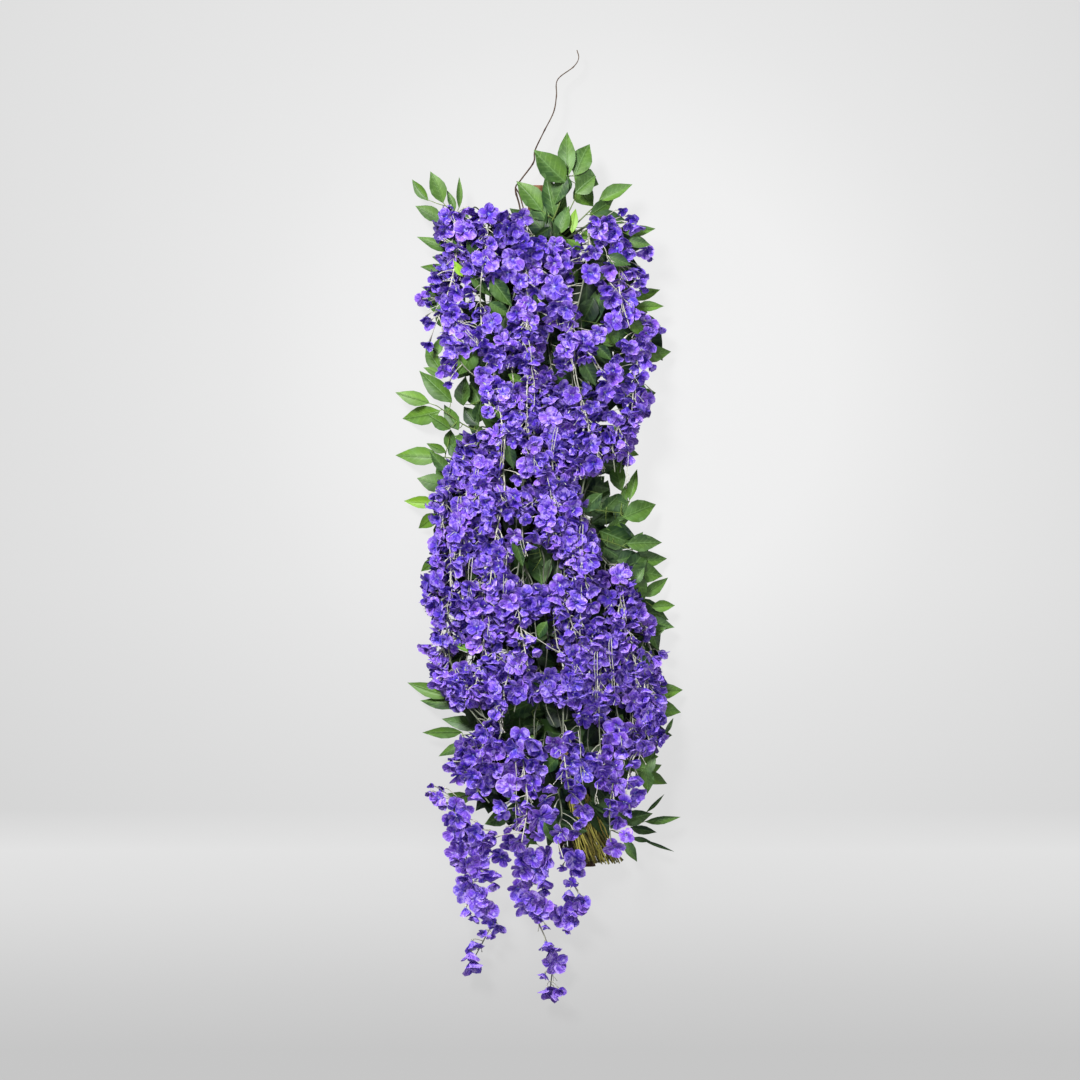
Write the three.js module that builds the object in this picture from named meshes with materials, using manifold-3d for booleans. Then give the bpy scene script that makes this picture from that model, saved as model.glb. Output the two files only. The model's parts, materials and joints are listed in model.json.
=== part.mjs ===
// A long bunch of wisteria bound to a crooked wooden pole, lying on its back on a flat surface.
//
// Millimetres, +Z up. +Y runs along the pole to the top of the bunch, and +X is on the right of someone who
// looks down on the flowers. The origin is the middle of the flat spot that the pole rests on.
//
// The pole and two brown vines beside it are tied together by four bands of twine. Racemes of flowers and
// leafy stems grow out of this trunk, arch over it and hang towards -Y. A tendril leaves the trunk at the top,
// and a sheaf of cut green stems lies on the pole's foot.

import * as THREE from "three";
import { mergeVertices } from "three/addons/utils/BufferGeometryUtils.js";
import Module from "manifold-3d";

const wasm = await Module();
wasm.setup();

// Clearances
const GAP = 0.4; // between neighbouring pieces
const FLOOR_GAP = 0.1; // lowest that a leaf or flower reaches above the surface

// The trunk
const POLE_TOP = 576;
const POLE_FOOT = -586;
const POLE_RADIUS = 19;
const POLE_LEAN = 76; // how far to the right the crooked pole's foot lies
const NOTCH_HEIGHT = 3.4; // the pole's flat underside is raised this much over each band of twine
const NOTCH_LENGTH = 50; // on either side of the band
const VINE_RADIUS = 7;
const VINE_OFFSET = POLE_RADIUS + VINE_RADIUS + 2;
const TWINE_THICKNESS = 1.9;
const TWINE_BAND_WIDTH = 17;
const TWINE_BAND_PLACES = [440, 215, -215, -396];
const CUT_STEMS = 13;
const CUT_STEM_RADIUS = 1.8;

// The flowers
const FLORET_RADIUS = [39, 25]; // at the top and at the tip of a raceme
const FLORET_REACH = [38, 18]; // from the raceme's stem to the face of a floret
const FLORETS_EVERY = 24; // along the stem
const RACEME_STEM_RADIUS = 3;
const DROOP = 0.3; // how much a floret faces along its stem
const FACE_TURN = 0.4; // share of its turn round the stem by which a floret turns its face
const FLORET_TRIES = 60;
const FILL_EVERY = 28; // along the stem, for the florets that fill gaps
const FILL_TURNS = [0, 0.1, 0.2]; // turns round the stem that they are tried at, on both sides in turn

// The leaves
const LEAFLET_LENGTH = 64;
const LEAFLET_WIDTH = 30;
const LEAF_THICKNESS = 0.9;
const LEAF_STEM_RADIUS = 1.9;
const LEAFLET_TRIES = 18;

// The heap of flowers is an arch over the trunk: half its width, and its height above the vines.
const ARCH_HALF_WIDTH = 195;
const ARCH_FOOT = 22;
const ARCH_RISE = 78;

const material = (color, roughness) => new THREE.MeshStandardMaterial({ color, roughness, metalness: 0 });
const BARK = material(0x5b4331, 0.9);
const DARK_BARK = material(0x33231b, 0.85);
const TWINE = material(0x9a7c50, 0.8);
const CUT_STEM = material(0x8f8a3a, 0.6);
const LEAF = material(0x3f7a34, 0.55);
const DARK_LEAF = material(0x244a2c, 0.55);
const PETAL = material(0x6a50c8, 0.8);

const root = new THREE.Group();

// Vectors and numbers

const vec = (x, y, z) => new THREE.Vector3(x, y, z);
const mix = (a, b, t) => a + (b - a) * t;
const UP = vec(0, 0, 1);

// A fixed number from -1 to 1 for each seed
function wobble(seed) {
  const s = Math.sin(seed * 12.9898 + 4.1414) * 43758.5453;
  return 2 * (s - Math.floor(s)) - 1;
}

const smooth = (t) => t * t * (3 - 2 * t);

function poleX(y) {
  return y > 0 ? -2 * smooth(y / POLE_TOP) : POLE_LEAN * Math.pow(y / POLE_FOOT, 1.6);
}

// Height of the pole's flat underside: nothing, but for a shallow notch over each band of twine
function poleUnderside(y) {
  const away = Math.min(...TWINE_BAND_PLACES.map((place) => Math.abs(y - place)));
  return NOTCH_HEIGHT * Math.max(0, 1 - away / NOTCH_LENGTH);
}

const poleMiddle = (y) => vec(poleX(y), y, POLE_RADIUS * Math.cos(Math.PI / 8) + poleUnderside(y));

// Height of the arch of flowers over a place on the surface
function archHeight(x, y) {
  const across = THREE.MathUtils.clamp((x - 0.4 * poleX(y)) / ARCH_HALF_WIDTH, -1, 1);
  return ARCH_FOOT + ARCH_RISE * Math.sqrt(1 - across * across);
}

// Solids

function solidOf(geometry) {
  const bare = new THREE.BufferGeometry().setAttribute("position", geometry.getAttribute("position"));
  bare.setIndex(geometry.index);
  const merged = mergeVertices(bare, 1e-4);
  return new wasm.Manifold(
    new wasm.Mesh({
      numProp: 3,
      vertProperties: new Float32Array(merged.getAttribute("position").array),
      triVerts: new Uint32Array(merged.index.array),
    }),
  );
}

function geometryOf(solid) {
  const mesh = solid.getMesh();
  return new THREE.BufferGeometry()
    .setAttribute("position", new THREE.BufferAttribute(mesh.vertProperties, mesh.numProp))
    .setIndex(new THREE.BufferAttribute(mesh.triVerts, 1));
}

function closedGeometry(points, triangles) {
  return new THREE.BufferGeometry()
    .setAttribute("position", new THREE.Float32BufferAttribute(points.flatMap((p) => p.toArray()), 3))
    .setIndex(triangles);
}

// Skin over rings with equal numbers of points, each counter-clockwise seen from the last one
function loft(rings) {
  const sides = rings[0].length;
  const at = (ring, side) => ring * sides + (side % sides);
  const triangles = [];
  for (let i = 0; i + 1 < rings.length; i++)
    for (let j = 0; j < sides; j++)
      triangles.push(at(i, j), at(i, j + 1), at(i + 1, j + 1), at(i, j), at(i + 1, j + 1), at(i + 1, j));
  const last = rings.length - 1;
  for (let j = 1; j + 1 < sides; j++)
    triangles.push(at(0, 0), at(0, j + 1), at(0, j), at(last, 0), at(last, j), at(last, j + 1));
  return closedGeometry(rings.flat(), triangles);
}

// A round rod along a curve, its radius a function of the share of its length
function rod(curve, steps, sides, radiusAt) {
  const frames = curve.computeFrenetFrames(steps, false);
  const rings = [];
  for (let i = 0; i <= steps; i++) {
    const middle = curve.getPointAt(i / steps);
    const ring = [];
    for (let j = 0; j < sides; j++) {
      const angle = (2 * Math.PI * (j + 0.5)) / sides;
      ring.push(
        middle
          .clone()
          .addScaledVector(frames.normals[i], radiusAt(i / steps) * Math.cos(angle))
          .addScaledVector(frames.binormals[i], radiusAt(i / steps) * Math.sin(angle)),
      );
    }
    rings.push(ring);
  }
  return loft(rings);
}

function addNode(name, solid, finish) {
  const mesh = new THREE.Mesh(geometryOf(solid), finish);
  mesh.name = name;
  root.add(mesh);
}

// Every small solid placed so far with the node that it belongs to, for keeping nodes clear of each other
const placed = [];

function boxesMeet(a, b) {
  return [0, 1, 2].every((k) => a.min[k] <= b.max[k] && b.min[k] <= a.max[k]);
}

function firstHit(solid, counts) {
  const box = solid.boundingBox();
  return placed.find((p) => counts(p) && boxesMeet(box, p.box) && !p.solid.intersect(solid).isEmpty());
}

const ofOthers = (owner) => (p) => p.owner !== owner;

function place(solid, owner, kind, face) {
  placed.push({ owner, kind, face, solid, box: solid.boundingBox() });
}

// Adds a node made of parts joined into one body, without any scrap that touches nothing
function addJoined(name, parts, finish) {
  const joined = parts.reduce((a, b) => a.add(b));
  const bodies = joined.decompose().sort((a, b) => b.volume() - a.volume());
  addNode(name, bodies[0], finish);
}

// The pole: an eight-sided branch with a flat side down
function pole() {
  const sides = 8;
  const rings = [];
  const notches = TWINE_BAND_PLACES.flatMap((place) => [place - NOTCH_LENGTH, place, place + NOTCH_LENGTH]);
  const places = [POLE_FOOT, -510, ...notches.sort((a, b) => a - b), POLE_TOP];
  for (let i = 0; i < places.length; i++) {
    const y = places[i];
    const middle = poleMiddle(y);
    const ring = [];
    for (let j = 0; j < sides; j++) {
      const angle = (2 * Math.PI * (j + 0.5)) / sides;
      const under = Math.sin(angle) < -0.8;
      const bumpy = under ? 1 : 1 + 0.05 * wobble(i * sides + j);
      ring.push(
        vec(
          middle.x + POLE_RADIUS * bumpy * Math.cos(angle),
          y,
          middle.z + POLE_RADIUS * bumpy * Math.sin(angle),
        ),
      );
    }
    rings.push(ring.reverse());
  }
  return solidOf(loft(rings));
}

// A vine that runs along one side of the pole, side being -1 or 1
function vine(side, foot, top) {
  const points = [];
  const bends = 9;
  for (let i = 0; i <= bends; i++) {
    const y = mix(foot, top, i / bends);
    const out = VINE_OFFSET + 1.6 * (1 + wobble(i + 7 * side));
    points.push(vec(poleX(y) + side * out, y, 14 + 3.5 * wobble(i + 31 * side)));
  }
  return solidOf(rod(new THREE.CatmullRomCurve3(points), 11, 5, (t) => VINE_RADIUS * mix(1, 0.7, t)));
}

// A band of twine round the pole and both vines: an oval ring lifted clear of the surface
function twineBand(y) {
  const inside = { x: VINE_OFFSET + VINE_RADIUS + 5.5, z: POLE_RADIUS + 3.5 };
  const middle = poleMiddle(y).z;
  const oval = (grow) => {
    const points = [];
    for (let i = 0; i < 12; i++) {
      const angle = (2 * Math.PI * (i + 0.5)) / 12;
      const x = (inside.x + grow) * Math.sign(Math.cos(angle)) * Math.pow(Math.abs(Math.cos(angle)), 0.55);
      const z = (inside.z + grow) * Math.sign(Math.sin(angle)) * Math.pow(Math.abs(Math.sin(angle)), 0.55);
      points.push(new THREE.Vector2(x, Math.max(z, FLOOR_GAP - middle + (grow ? 0 : TWINE_THICKNESS))));
    }
    return points;
  };
  const outline = new THREE.Shape(oval(TWINE_THICKNESS));
  outline.holes.push(new THREE.Path(oval(0)));
  const band = new THREE.ExtrudeGeometry(outline, { depth: TWINE_BAND_WIDTH, bevelEnabled: false });
  band.rotateX(Math.PI / 2);
  band.translate(poleX(y), y + TWINE_BAND_WIDTH / 2, middle);
  return solidOf(band);
}

// The tendril that climbs out of the top of the bunch, with a short side shoot
function tendrilParts() {
  const climb = new THREE.CatmullRomCurve3([
    vec(-28, 470, 22), vec(-34, 536, 23), vec(-42, 570, 25), vec(-33, 585, 27), vec(-11, 615, 31),
    vec(-9, 634, 33), vec(6, 666, 35), vec(23, 700, 36), vec(28, 728, 35), vec(30, 756, 33),
    vec(57, 778, 30), vec(66, 793, 28), vec(63, 807, 27),
  ]);
  const shoot = new THREE.CatmullRomCurve3([
    vec(-41, 571, 25), vec(-37, 562, 31), vec(-35, 548, 36), vec(-31, 526, 38), vec(-29, 504, 38),
  ]);
  return [
    solidOf(rod(climb, 19, 4, (t) => mix(2.4, 0.9, t))),
    solidOf(rod(shoot, 4, 4, (t) => mix(1.5, 1.2, t))),
  ];
}

// The sheaf of cut stems on the pole's foot: they leave one knot and fan out to their cut ends
function cutStemParts() {
  const knot = rod(new THREE.LineCurve3(vec(50, -424, 50), vec(64, -470, 50)), 1, 6, (t) => mix(4, 8.5, t));
  const parts = [solidOf(knot)];
  for (let i = 0; i < CUT_STEMS; i++) {
    const spread = i / (CUT_STEMS - 1);
    const layer = i % 3;
    const start = vec(mix(59, 67, spread), -462, 46 + 4 * layer);
    const bend = vec(mix(64, 112, spread), -524, 44 + 7 * layer - 3 * spread);
    const end = vec(mix(70, 152, spread), -586 + 11 * wobble(i), 44 + 5 * layer - 16 * spread);
    parts.push(solidOf(rod(new THREE.CatmullRomCurve3([start, bend, end]), 2, 4, () => CUT_STEM_RADIUS)));
  }
  return parts;
}

function mixPoint(a, b, t) {
  return a.clone().lerp(b, t);
}

// A stem's start on the trunk, on the side of the pole that faces a target
function trunkSide(y, target, lowest) {
  const middle = poleMiddle(y);
  const angle = Math.atan2(target.z - middle.z, target.x - middle.x);
  const kept = THREE.MathUtils.clamp(angle, lowest, Math.PI - lowest);
  const reach = POLE_RADIUS * 1.05 + RACEME_STEM_RADIUS + GAP;
  return vec(middle.x + reach * Math.cos(kept), y, middle.z + reach * Math.sin(kept));
}

// Racemes: where each starts to hang and where it ends, seen from above. Those that trail past the pole's
// foot have a middle point and heights of their own, and lie along the surface.
const RACEMES = [
  { from: [-138, 522], to: [-164, 350] },
  { from: [-80, 516], to: [-100, 330] },
  { from: [-17, 486], to: [-27, 300] },
  { from: [124, 508], to: [152, 330] },
  { from: [70, 478], to: [50, 305] },
  { from: [-148, 366], to: [-116, 222] },
  { from: [-30, 366], to: [-14, 120] },
  { from: [52, 340], to: [102, 92] },
  { from: [156, 362], to: [164, 180] },
  { from: [-86, 300], to: [-66, 124] },
  { from: [136, 232], to: [128, 86] },
  { from: [-110, 138], to: [-140, -52] },
  { from: [-56, 128], to: [-78, -104] },
  { from: [20, 176], to: [14, -40] },
  { from: [70, 96], to: [86, -104] },
  { from: [-140, -24], to: [-166, -196] },
  { from: [-92, -58], to: [-104, -284] },
  { from: [-34, -40], to: [-28, -240] },
  { from: [46, -60], to: [58, -284] },
  { from: [132, -84], to: [166, -244] },
  { from: [-150, -200], to: [-122, -350] },
  { from: [-60, -218], to: [-66, -342] },
  { from: [106, -196], to: [100, -392] },
  { from: [172, -206], to: [182, -362] },
  { from: [34, -266], to: [54, -452] },
  { from: [-100, -356], to: [-112, -474] },
  { from: [-26, -352], to: [-26, -540] },
  { from: [36, -456], to: [34, -566] },
  { from: [124, -376], to: [120, -540] },
  { from: [176, -326], to: [152, -456] },
  { from: [-150, -470], to: [-122, -756], by: [-122, -596], heights: [46, 36, 24] },
  { from: [-24, -560], to: [17, -792], by: [0, -650], heights: [60, 40, 24] },
  { from: [50, -596], to: [54, -700], by: [76, -650], heights: [42, 34, 26] },
];

function racemeCurve({ from, to, by, heights }, shift, lift) {
  const start = vec(from[0], from[1], heights ? heights[0] : archHeight(...from) - 16);
  const end = vec(to[0], to[1], heights ? heights[2] : archHeight(...to) + 6);
  const middle = by ? vec(by[0], by[1], heights[1]) : mixPoint(start, end, 0.5);
  if (!by) middle.z = archHeight(middle.x, middle.y) + 2;
  const rootY = Math.max(from[1] + 14 + shift, POLE_FOOT + 30);
  const origin = trunkSide(rootY, start, 0.9);
  const rise = mixPoint(origin, start, 0.55);
  rise.z += 9 + lift;
  return { curve: new THREE.CatmullRomCurve3([origin, rise, start, middle, end], false, "centripetal"), start };
}

// Share of a curve's length at which it is nearest to a point
function shareNear(curve, point) {
  let best = 0;
  for (let i = 0; i <= 100; i++)
    if (curve.getPointAt(i / 100).distanceTo(point) < curve.getPointAt(best).distanceTo(point)) best = i / 100;
  return best;
}

// A floret in its own frame, facing +Z with its face at the origin: four broad petals round a sunken centre,
// and behind them a neck. Growing it is for keeping clear of what is near.
function floretPoints(radius, grow) {
  const points = [];
  for (let petal = 0; petal < 4; petal++) {
    const middle = (petal * Math.PI) / 2;
    const lift = petal % 2 ? 0.2 : -0.04;
    for (const [turn, out, height] of [[-Math.PI / 4, 0.56, -0.1], [-0.44, 1, lift], [0.44, 1, lift]]) {
      const reach = radius * out + grow;
      points.push(vec(reach * Math.cos(middle + turn), reach * Math.sin(middle + turn), radius * height));
    }
  }
  points.push(vec(0, 0, -0.2 * radius + grow));
  for (let k = 0; k < 3; k++) {
    const angle = (2 * Math.PI * (k * 4 + 2)) / 12;
    const wide = 3 + grow;
    points.push(vec(wide * Math.cos(angle), wide * Math.sin(angle), -0.42 * radius - grow));
  }
  return points;
}

function floretTriangles() {
  const [centre, neck, stalkEnd] = [12, 13, 16];
  const triangles = [];
  for (let i = 0; i < 12; i++) {
    const next = (i + 1) % 12;
    triangles.push(centre, i, next);
    triangles.push(next, i, neck + Math.floor(i / 4));
  }
  for (let k = 0; k < 3; k++) {
    const after = (k + 1) % 3;
    triangles.push((4 * k + 4) % 12, neck + k, neck + after);
    triangles.push(neck + after, neck + k, stalkEnd);
  }
  return triangles;
}

const FLORET_TRIANGLES = floretTriangles();

// A floret with its face at a point, facing one way, and its stalk reaching back to a point on the stem
function floret(face, facing, spin, radius, stalkEnd, grow = 0) {
  const turn = new THREE.Quaternion().setFromUnitVectors(UP, facing);
  turn.multiply(new THREE.Quaternion().setFromAxisAngle(UP, spin));
  const points = floretPoints(radius, grow).map((p) => p.applyQuaternion(turn).add(face));
  return solidOf(closedGeometry([...points, stalkEnd], FLORET_TRIANGLES));
}

// Directions round a raceme's stem, in turns of a circle from the one that faces out of the bunch
const AROUND = [0, 0.19, -0.19, 0.08, -0.12, 0.23, -0.23, 0.13, -0.05, -0.17, 0.18];

// The floret nearest to a place as seen from above is at least this far from it
function isBare(spot, distance) {
  return placed.every((p) => p.kind !== "floret" || Math.hypot(p.face.x - spot.x, p.face.y - spot.y) > distance);
}

// Tries one place on a raceme's stem, with more and more stray from it, until a floret stands clear there
function tryFloret(raceme, down, turnShare, seed, bareness) {
  const { name, curve, begin, florets } = raceme;
  const share = mix(begin, 0.985, down);
  const at = curve.getPointAt(share);
  const along = curve.getTangentAt(share);
  const middle = vec(0.4 * poleX(at.y), at.y, Math.min(ARCH_FOOT, at.z - 14));
  const out = at.clone().sub(middle);
  out.set(out.x / ARCH_HALF_WIDTH ** 2, 0, out.z / ARCH_RISE ** 2);
  out.addScaledVector(along, -out.dot(along)).normalize();
  const side = new THREE.Vector3().crossVectors(along, out);
  for (let attempt = 0; attempt < FLORET_TRIES; attempt++) {
    const stray = attempt / FLORET_TRIES;
    const turn = 2 * Math.PI * (turnShare + 0.2 * stray * wobble(seed + attempt));
    const shrink = 1 - 0.42 * Math.max(0, stray - 0.35);
    const radius = shrink * mix(...FLORET_RADIUS, down);
    const reach = shrink * mix(...FLORET_REACH, down) * (1 + (0.15 + 0.42 * stray) * wobble(seed + attempt + 2));
    const face = at.clone().addScaledVector(out, reach * Math.cos(turn));
    face.addScaledVector(side, reach * Math.sin(turn)).addScaledVector(along, 0.35 * reach);
    if (!isBare(face, bareness * radius)) continue;
    const open = turn * FACE_TURN;
    const droop = down === 1 ? 1.2 : DROOP + (0.15 + 0.55 * stray) * wobble(seed + attempt + 1);
    const facing = out.clone().multiplyScalar(Math.cos(open)).addScaledVector(side, Math.sin(open));
    facing.addScaledVector(along, droop).normalize();
    const spin = Math.PI * wobble(seed + attempt + 3);
    const guard = floret(face, facing, spin, radius, at, GAP);
    const counts = (p) => p.owner !== name || p.kind === "floret";
    if (guard.boundingBox().min[2] > FLOOR_GAP && !firstHit(guard, counts)) {
      const made = floret(face, facing, spin, radius, at);
      florets.push(made);
      place(made, name, "floret", face);
      return;
    }
  }
}

// The florets along a raceme, from where it starts to hang down to its tip
function dress(raceme) {
  const count = Math.max(5, Math.round(((1 - raceme.begin) * raceme.curve.getLength()) / FLORETS_EVERY));
  for (let i = 0; i < count; i++)
    tryFloret(raceme, i / (count - 1), AROUND[(i + raceme.number) % AROUND.length], raceme.number * 97 + i * 13, 0);
}

// A few more florets on long stalks where the bunch still shows gaps
function fill(raceme, reach) {
  const places = Math.round(((1 - raceme.begin) * raceme.curve.getLength()) / FILL_EVERY);
  for (let i = 0; i < places; i++)
    tryFloret(raceme, (i + 0.5) / places, reach * (i % 2 ? 1 : -1), raceme.number * 53 + i * 7 + 900 * reach, 0.8);
}

// Leafy stems: each node has one or more branches that leave the trunk. A branch is given by the height up the
// trunk where it starts, a point that it passes and the end of its stem, its number of leaflets and their size.
const LEAVES = [
  {
    name: "leaves_top",
    branches: [
      { rootY: 540, by: [22, 540, 66], end: [44, 598, 66], leaflets: 7, size: 1.06 },
      { rootY: 520, by: [4, 528, 58], end: [-8, 548, 64], leaflets: 5, size: 1.05 },
      { rootY: 500, by: [50, 520, 56], end: [98, 546, 58], leaflets: 5, size: 1 },
    ],
  },
  {
    name: "leaves_top_left",
    branches: [
      { rootY: 512, by: [-100, 520, 50], end: [-176, 556, 44], leaflets: 6, size: 0.86 },
      { rootY: 470, by: [-110, 462, 34], end: [-158, 462, 26], leaflets: 4, size: 0.82 },
    ],
  },
  {
    name: "leaves_top_right",
    branches: [
      { rootY: 480, by: [90, 490, 34], end: [150, 494, 30], leaflets: 4, size: 0.85 },
      { rootY: 392, by: [100, 384, 30], end: [158, 382, 24], leaflets: 5, size: 0.8 },
    ],
  },
  {
    name: "leaves_left_upper",
    branches: [
      { rootY: 312, by: [-110, 300, 34], end: [-166, 268, 28], leaflets: 5, size: 0.85 },
      { rootY: 168, by: [-106, 160, 34], end: [-186, 206, 30], leaflets: 9, size: 1.02 },
    ],
  },
  {
    name: "leaves_left_middle",
    branches: [{ rootY: 118, by: [-104, 102, 30], end: [-180, 116, 20], leaflets: 7, size: 0.98 }],
  },
  {
    name: "leaves_left_waist",
    branches: [{ rootY: 32, by: [-104, 34, 28], end: [-184, 34, 16], leaflets: 5, size: 0.86 }],
  },
  {
    name: "leaves_right_upper",
    branches: [{ rootY: 300, by: [100, 296, 30], end: [168, 288, 26], leaflets: 5, size: 0.9 }],
  },
  {
    name: "leaves_right_middle",
    branches: [{ rootY: 40, by: [86, 30, 60], end: [144, 34, 54], leaflets: 8, size: 1.1 }],
  },
  {
    name: "leaves_right_waist",
    branches: [{ rootY: -10, by: [92, -26, 52], end: [164, -42, 34], leaflets: 9, size: 1.02 }],
  },
  {
    name: "leaves_right_lower",
    branches: [{ rootY: -112, by: [112, -116, 28], end: [180, -122, 20], leaflets: 6, size: 0.9 }],
  },
  {
    name: "leaves_left_lower",
    branches: [{ rootY: -300, by: [-88, -306, 32], end: [-166, -294, 22], leaflets: 5, size: 1.04 }],
  },
  {
    name: "leaves_left_foot",
    branches: [{ rootY: -372, by: [-70, -362, 30], end: [-142, -360, 20], leaflets: 6, size: 0.98 }],
  },
  {
    name: "leaves_right_foot",
    branches: [
      { rootY: -276, by: [130, -282, 28], end: [186, -288, 20], leaflets: 5, size: 0.84 },
      { rootY: -400, by: [130, -404, 28], end: [176, -424, 20], leaflets: 4, size: 0.84 },
    ],
  },
  {
    name: "leaves_foot_dark",
    dark: true,
    branches: [{ rootY: -486, by: [126, -502, 32], end: [172, -520, 20], leaflets: 7, size: 0.92, narrow: 0.6 }],
  },
  {
    name: "leaves_foot_left",
    dark: true,
    branches: [{ rootY: -474, by: [-40, -458, 34], end: [-104, -462, 24], leaflets: 6, size: 0.96 }],
  },
  {
    name: "leaves_inner_upper",
    dark: true,
    branches: [
      { rootY: 414, by: [-40, 410, 80], end: [-62, 392, 88], leaflets: 4, size: 1 },
      { rootY: 408, by: [60, 410, 84], end: [88, 396, 92], leaflets: 5, size: 1.1 },
    ],
  },
  {
    name: "leaves_inner_middle",
    dark: true,
    branches: [{ rootY: -8, by: [-6, -30, 92], end: [0, -52, 104], leaflets: 4, size: 1.05 }],
  },
  {
    name: "leaves_inner_lower",
    dark: true,
    branches: [
      { rootY: -318, by: [-12, -322, 80], end: [-34, -322, 92], leaflets: 5, size: 1.05 },
      { rootY: -330, by: [40, -330, 80], end: [62, -326, 92], leaflets: 3, size: 1.05 },
    ],
  },
];

function branchCurve({ rootY, by, end }, shift, lift) {
  const origin = trunkSide(rootY + shift, vec(...by), 0.62);
  const pass = vec(by[0], by[1] + shift / 3, by[2] + lift);
  return new THREE.CatmullRomCurve3([origin, pass, vec(...end)], false, "centripetal");
}

// A leaflet's blade: pointed at both ends, folded up along its midrib and arched down towards its tip
function blade(base, direction, normal, length, width, thickness) {
  const across = new THREE.Vector3().crossVectors(direction, normal).normalize();
  const at = (share, side) =>
    base
      .clone()
      .addScaledVector(direction, length * share)
      .addScaledVector(across, (width / 2) * side)
      .addScaledVector(normal, length * (0.16 * Math.abs(side) - 0.2 * share * share));
  const rim = [at(0, 0), at(0.3, 1), at(0.68, 0.66), at(1, 0), at(0.68, -0.66), at(0.3, -1)];
  const top = rim.map((p) => p.clone().addScaledVector(normal, thickness / 2));
  const bottom = rim.map((p) => p.clone().addScaledVector(normal, -thickness / 2));
  const faces = [[0, 1, 3], [1, 2, 3], [0, 3, 5], [3, 4, 5]];
  const triangles = faces.flatMap(([a, b, c]) => [a, b, c, 6 + a, 6 + c, 6 + b]);
  for (let i = 0; i < 6; i++) {
    const next = (i + 1) % 6;
    triangles.push(i, 6 + i, 6 + next, i, 6 + next, next);
  }
  const made = solidOf(closedGeometry([...top, ...bottom], triangles));
  return made.volume() > 0 ? made : null;
}

// Leaflets alternate along the outer part of the stem, and the last one ends it
function leafletsOf(name, seed, branch, curve) {
  const kept = [];
  for (let i = 0; i < branch.leaflets; i++) {
    const last = i === branch.leaflets - 1;
    const share = mix(0.42, 1, branch.leaflets > 1 ? i / (branch.leaflets - 1) : 1);
    const base = curve.getPointAt(share);
    const along = curve.getTangentAt(share);
    const side = i % 2 ? 1 : -1;
    const leaning = last ? 0.15 * wobble(seed + i) : side * (0.85 + 0.25 * wobble(seed + i));
    const size = branch.size * (last ? 1.04 : mix(0.86, 1, share)) * (1 + 0.1 * wobble(seed + i + 50));
    for (let attempt = 0; attempt < LEAFLET_TRIES; attempt++) {
      const pitch = 0.1 * wobble(seed + i + 20) + 0.09 * Math.ceil(attempt / 2) * (attempt % 2 ? 1 : -1);
      const roll = 0.5 * wobble(seed + i + 35) * (1 - attempt / LEAFLET_TRIES);
      const turn = leaning + 0.035 * attempt * wobble(seed + i + attempt);
      const flat = along.clone().setZ(0).normalize().applyAxisAngle(UP, turn);
      const level = new THREE.Vector3().crossVectors(flat, UP).normalize();
      const direction = flat.clone().applyAxisAngle(level, pitch);
      const normal = new THREE.Vector3().crossVectors(level, direction).normalize();
      normal.applyAxisAngle(direction, roll);
      const length = LEAFLET_LENGTH * size;
      const width = LEAFLET_WIDTH * size * (branch.narrow ?? 1);
      const start = base.clone().addScaledVector(direction, -0.8);
      const made = blade(start, direction, normal, length, width, LEAF_THICKNESS);
      const guard = blade(start, direction, normal, length + GAP, width + 2 * GAP, LEAF_THICKNESS + 2 * GAP);
      const counts = (p) => p.owner !== name || p.kind === "blade";
      if (made && guard && made.boundingBox().min[2] > FLOOR_GAP && !firstHit(guard, counts)) {
        kept.push(made);
        place(made, name, "blade");
        break;
      }
    }
  }
  return kept;
}

// The first of many ways for a stem out of the trunk that keeps it clear of everything placed before
function clearStem(name, makeCurve, radius, steps, sides) {
  for (let attempt = 0; attempt < 70; attempt++) {
    const shift = 7 * Math.ceil((attempt % 14) / 2) * (attempt % 2 ? 1 : -1);
    const lift = 6 * Math.ceil(Math.floor(attempt / 14) / 2) * (Math.floor(attempt / 14) % 2 ? 1 : -1);
    const curve = makeCurve(shift, lift);
    const thick = (grow) => solidOf(rod(curve, steps, sides, (t) => radius * mix(1, 0.8, t) + grow));
    if (!firstHit(thick(GAP), ofOthers(name))) {
      const made = thick(0);
      place(made, name, "stem");
      return { curve, made };
    }
  }
  throw new Error(name + " has no clear way out of the trunk");
}

// The trunk and what is tied to it
const single = (name, parts, finish) => {
  for (const part of parts) {
    const hit = firstHit(part, ofOthers(name));
    if (hit) throw new Error(name + " meets " + hit.owner);
    place(part, name, "trunk");
  }
  addJoined(name, parts, finish);
};

single("pole", [pole()], BARK);
single("vine_left", [vine(-1, -560, 330)], DARK_BARK);
single("vine_right", [vine(1, -540, 470)], DARK_BARK);
TWINE_BAND_PLACES.forEach((y, i) => single("twine_band_" + (i + 1), [twineBand(y)], TWINE));
single("tendril", tendrilParts(), DARK_BARK);
single("cut_stems", cutStemParts(), CUT_STEM);

// Stems first, then leaflets, then florets, so that what is small gives way to what is large
const leafNodes = LEAVES.map(({ name, dark, branches }, number) => ({
  name,
  dark,
  stems: branches.map((branch) =>
    clearStem(name, (shift, lift) => branchCurve(branch, shift, lift), LEAF_STEM_RADIUS, 4, 3),
  ),
  branches,
  number,
}));

const racemeNodes = RACEMES.map((raceme, number) => {
  const name = "raceme_" + String(number + 1).padStart(2, "0");
  const stem = clearStem(name, (...way) => racemeCurve(raceme, ...way).curve, RACEME_STEM_RADIUS, 5, 3);
  const begin = shareNear(stem.curve, racemeCurve(raceme, 0, 0).start);
  return { name, number, ...stem, begin, florets: [] };
});

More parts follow.
